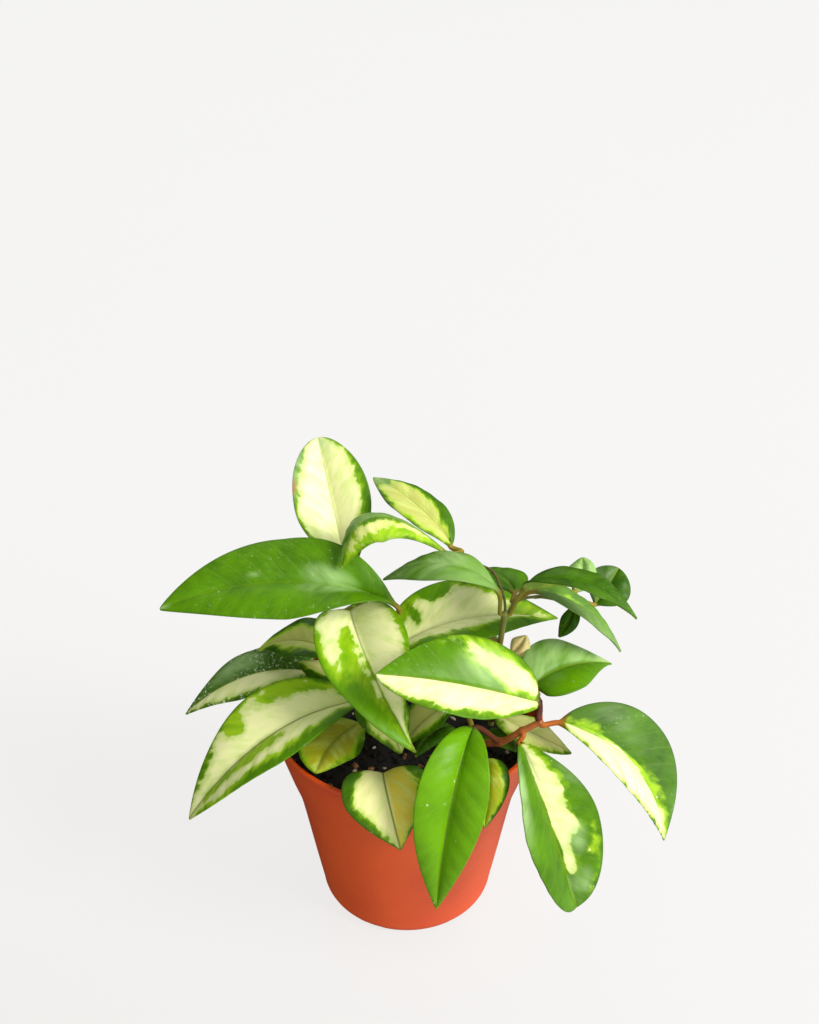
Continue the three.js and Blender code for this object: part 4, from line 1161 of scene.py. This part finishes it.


# The colour changes every 4, 3 and 2.5 mm, which is about a crumb, a chip and a bead.
# The peat is the black of damp peat, darkened further as painted shade in the gaps between crumbs.
peat = crumb_material("peat_with_painted_shade", "#070605", "#1a130e", 3.85, 0.85)
bark = crumb_material("pine_bark_chips", "#4e2f1a", "#ad7f50", 3.1, 0.8)
perlite = crumb_material("perlite_expanded", "#b09c80", "#ece4d4", 2.5, 0.7)

SOIL_TOP, SOIL_EDGE, SOIL_FLOOR = 73.5, 45.9, 1.9
SOIL_SIDES, SOIL_ROWS = 96, 34


def soil_height(x, y):
    """The lumpy surface: a slow swell, and small clods."""
    swell = math.sin(x * 0.61 + 1.3) * math.cos(y * 0.53) + math.sin(x * 1.27 - y * 0.94)
    clods = math.sin(x * 2.3 + 0.4) * math.sin(y * 2.7 + 1.1) + 0.6 * math.sin(x * 4.1 - y * 3.7)
    return SOIL_TOP + 0.7 * (0.6 + 0.5 * swell) + 0.28 * clods


def make_soil():
    """A body that fills the pot: a few rings up the inside of the wall, then rings inward over the top."""
    wall = [(27.5, SOIL_FLOOR), (30.6, 8.0), (34.6, 30.0), (38.3, 52.0), (41.2, 62.0)]
    angles = np.arange(SOIL_SIDES) * 2 * math.pi / SOIL_SIDES
    points = [(0, 0, SOIL_FLOOR)]
    points += [(r * math.cos(a), r * math.sin(a), z) for r, z in wall for a in angles]
    for row_number in range(SOIL_ROWS):
        r = SOIL_EDGE * (1 - row_number / SOIL_ROWS)
        for a in angles:
            x, y = r * math.cos(a), r * math.sin(a)
            points.append((x, y, soil_height(x, y) if row_number else SOIL_TOP - 0.6))
    points.append((0, 0, soil_height(0, 0)))
    faces = turned_faces(len(wall) + SOIL_ROWS, SOIL_SIDES)
    piece = new_mesh("soil_peat", points, faces, peat)
    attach(piece, "root")
    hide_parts("soil")
    return piece


soil = make_soil()
print("soil faces:", len(soil.data.polygons))

# %% Crumbs, chips and beads
def pebble(rng, size, squash, pushed_in):
    """A rough lump: the 12 corners of an icosahedron with one more step of points, each pushed in or out."""
    g = (1 + 5**0.5) / 2
    corners = [(-1, g, 0), (1, g, 0), (-1, -g, 0), (1, -g, 0), (0, -1, g), (0, 1, g),
               (0, -1, -g), (0, 1, -g), (g, 0, -1), (g, 0, 1), (-g, 0, -1), (-g, 0, 1)]
    faces = [(0, 11, 5), (0, 5, 1), (0, 1, 7), (0, 7, 10), (0, 10, 11), (1, 5, 9), (5, 11, 4), (11, 10, 2),
             (10, 7, 6), (7, 1, 8), (3, 9, 4), (3, 4, 2), (3, 2, 6), (3, 6, 8), (3, 8, 9), (4, 9, 5),
             (2, 4, 11), (6, 2, 10), (8, 6, 7), (9, 8, 1)]
    corners = unit(np.array(corners, float))
    middles, split = {}, []
    points = list(corners)
    for a, b, c in faces:
        ids = []
        for i, j in ((a, b), (b, c), (c, a)):
            key = (min(i, j), max(i, j))
            if key not in middles:
                middles[key] = len(points)
                points.append(unit(points[i] + points[j]))
            ids.append(middles[key])
        ab, bc, ca = ids
        split += [(a, ab, ca), (b, bc, ab), (c, ca, bc), (ab, bc, ca)]
    points = np.array(points) * rng.uniform(pushed_in, 1.15, (len(points), 1)) * size * np.array(squash)
    turn, _ = np.linalg.qr(rng.normal(size=(3, 3)))
    if np.linalg.det(turn) < 0:
        turn[:, 0] = -turn[:, 0]
    return points @ turn.T, split


def scatter(name, count, material, sizes, squash, pushed_in, sink, seed):
    """Lays lumps over the soil, part sunk in, and clear of the pot's wall."""
    rng = np.random.default_rng(seed)
    points, faces = [], []
    for _ in range(count):
        size = rng.uniform(*sizes)
        r = (SOIL_EDGE - size - 0.4) * rng.uniform() ** 0.5
        a = rng.uniform(0, 2 * math.pi)
        x, y = r * math.cos(a), r * math.sin(a)
        lump, lump_faces = pebble(rng, size, squash, pushed_in)
        first = len(points)
        points += list(lump + np.array([x, y, soil_height(x, y) + size * sink]))
        faces += [tuple(i + first for i in face) for face in lump_faces]
    piece = new_mesh(name, points, faces, material)
    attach(piece, "root")
    return piece


scatter("soil_crumbs", 650, peat, sizes=(0.5, 1.5), squash=(1, 0.8, 0.7), pushed_in=0.75, sink=0.1, seed=11)
scatter("soil_bark", 110, bark, sizes=(0.8, 2.1), squash=(1.3, 0.8, 0.35), pushed_in=0.7, sink=0.2, seed=12)
scatter("soil_perlite", 80, perlite, sizes=(0.3, 1.1), squash=(1.2, 0.9, 0.7), pushed_in=0.5,
        sink=0.1, seed=13)
print("soil dressed")

# %% [markdown]
# ## Floor, light and camera
#
# The plant stands on a plain pale surface in soft, bright light that comes mostly from the right. A large
# area light from the right front gives the pot its bright right side and dark left one. A second one
# behind and above lays the broad sheen on the leaves.
#
# In such a picture the ground is nearly white and takes hardly a shadow. A white paint would burn out
# under the lamps before the leaves are bright enough, so the paper here is a mid grey that glows by
# itself: the lamps add only the faint shadow under the pot. The room is told twice. What lights the
# pieces comes from all sides, weaker from the left. What mirrors in them is bright at the right and
# nearly black at the left, as if a dark card stood beside the plant, and that keeps the greens and the
# pot's colour deep. The camera looks down by about 31 degrees, with a slightly long lens, as the picture
# was taken.

# %% The floor
# Matt paper lit from within: a pale ground that leaves the eye with the plant.
floor_paper, tree = new_material("pale_matt_paper")
spot = add(tree, PLACE, output="Object")
fibre = add(tree, NOISE, [spot, scale_for(250) / MM, 3.0, 0.55])
x, y, _ = add(tree, "ShaderNodeSeparateXYZ", [spot]).node.outputs
# Painted light fall-off: the paper's glow greys a little towards the front left.
painted_falloff = add(tree, MATH, [x, 0.7, y], operation="MULTIPLY_ADD")
painted_falloff = add(tree, STEP, [painted_falloff, -0.35, 0.05], **SOFT)
shader = add(tree, SHADER, {
    "Base Color": add(tree, MIX, [fibre, "#515254", "#4f5051"], **COLOURS), "Roughness": 0.9,
    "Emission Color": add(tree, MIX, [painted_falloff, "#eeebe8", "#f7f6f5"], **COLOURS),
    "Emission Strength": 0.86,
})
add(tree, "ShaderNodeOutputMaterial", {"Surface": shader})
FLOOR_RADIUS = 9.0
bpy.ops.mesh.primitive_circle_add(vertices=96, radius=FLOOR_RADIUS, fill_type="NGON", location=(0, 0, 0))
floor = bpy.context.object
floor.name = "floor"
floor.data.materials.append(floor_paper)
floor.visible_diffuse = False
floor.visible_glossy = False
print("floor radius, m:", FLOOR_RADIUS)

# %% Lights
def area_light(name, place_m, target_m, size, watts, colour="#ffffff"):
    data = bpy.data.lights.new(name, "AREA")
    data.shape, data.size, data.energy = "DISK", size, watts
    data.color = linear(colour)[:3]
    light = bpy.data.objects.new(name, data)
    light.location = place_m
    light.rotation_euler = (Vector(target_m) - Vector(place_m)).to_track_quat("-Z", "Y").to_euler()
    bpy.context.scene.collection.objects.link(light)
    return light


area_light("key_right", (2.5, -1.4, 2.0), target_m=(0, 0, 0.08), size=1.6, watts=132.0, colour="#fffaf0")
area_light("sheen_behind", (-0.3, 2.6, 2.1), target_m=(0, 0, 0.1), size=2.2, watts=13.0)
world = bpy.data.worlds.new("bright_room")
world.use_nodes = True
sky = world.node_tree
KEY_SIDE = (0.87, -0.49, 0.0)
toward = add(sky, PLACE, output="Generated")
to_key = add(sky, "ShaderNodeVectorMath", [toward, KEY_SIDE], operation="DOT_PRODUCT")
fill = add(sky, STEP, [to_key, -0.9, 0.9, 0.4, 0.95], **SOFT)
mirrored = add(sky, STEP, [to_key, -0.4, 0.9, 0.01, 0.95], **SOFT)
in_gloss = add(sky, "ShaderNodeLightPath", output="Is Glossy Ray")
seen_directly = add(sky, "ShaderNodeLightPath", output="Is Camera Ray")
strength = add(sky, STEP, [in_gloss, 0.0, 1.0, fill, mirrored], **SOFT)
strength = add(sky, STEP, [seen_directly, 0.0, 1.0, strength, 0.84], **SOFT)
background = sky.nodes["Background"]
background.inputs["Color"].default_value = linear("#ffffff")
sky.links.new(strength, background.inputs["Strength"])
bpy.context.scene.world = world
bpy.context.scene.view_settings.view_transform = "Standard"

# %% Camera
CAMERA_PLACE = (0.001, -0.4087, 0.413)
CAMERA_DOWN = 31.06
FOCAL_MM = 50.17
camera_data = bpy.data.cameras.new("camera")
camera_data.lens = FOCAL_MM
camera_data.clip_start = 0.01
camera = bpy.data.objects.new("camera", camera_data)
camera.location = CAMERA_PLACE
camera.rotation_euler = (math.radians(90 - CAMERA_DOWN), 0, 0)
bpy.context.scene.collection.objects.link(camera)
bpy.context.scene.camera = camera
print("camera lens, mm:", camera_data.lens)

# %% [markdown]
# ## The last line
#
# The last line brings the scene up to date.

# %% The last line
bpy.context.view_layer.update()
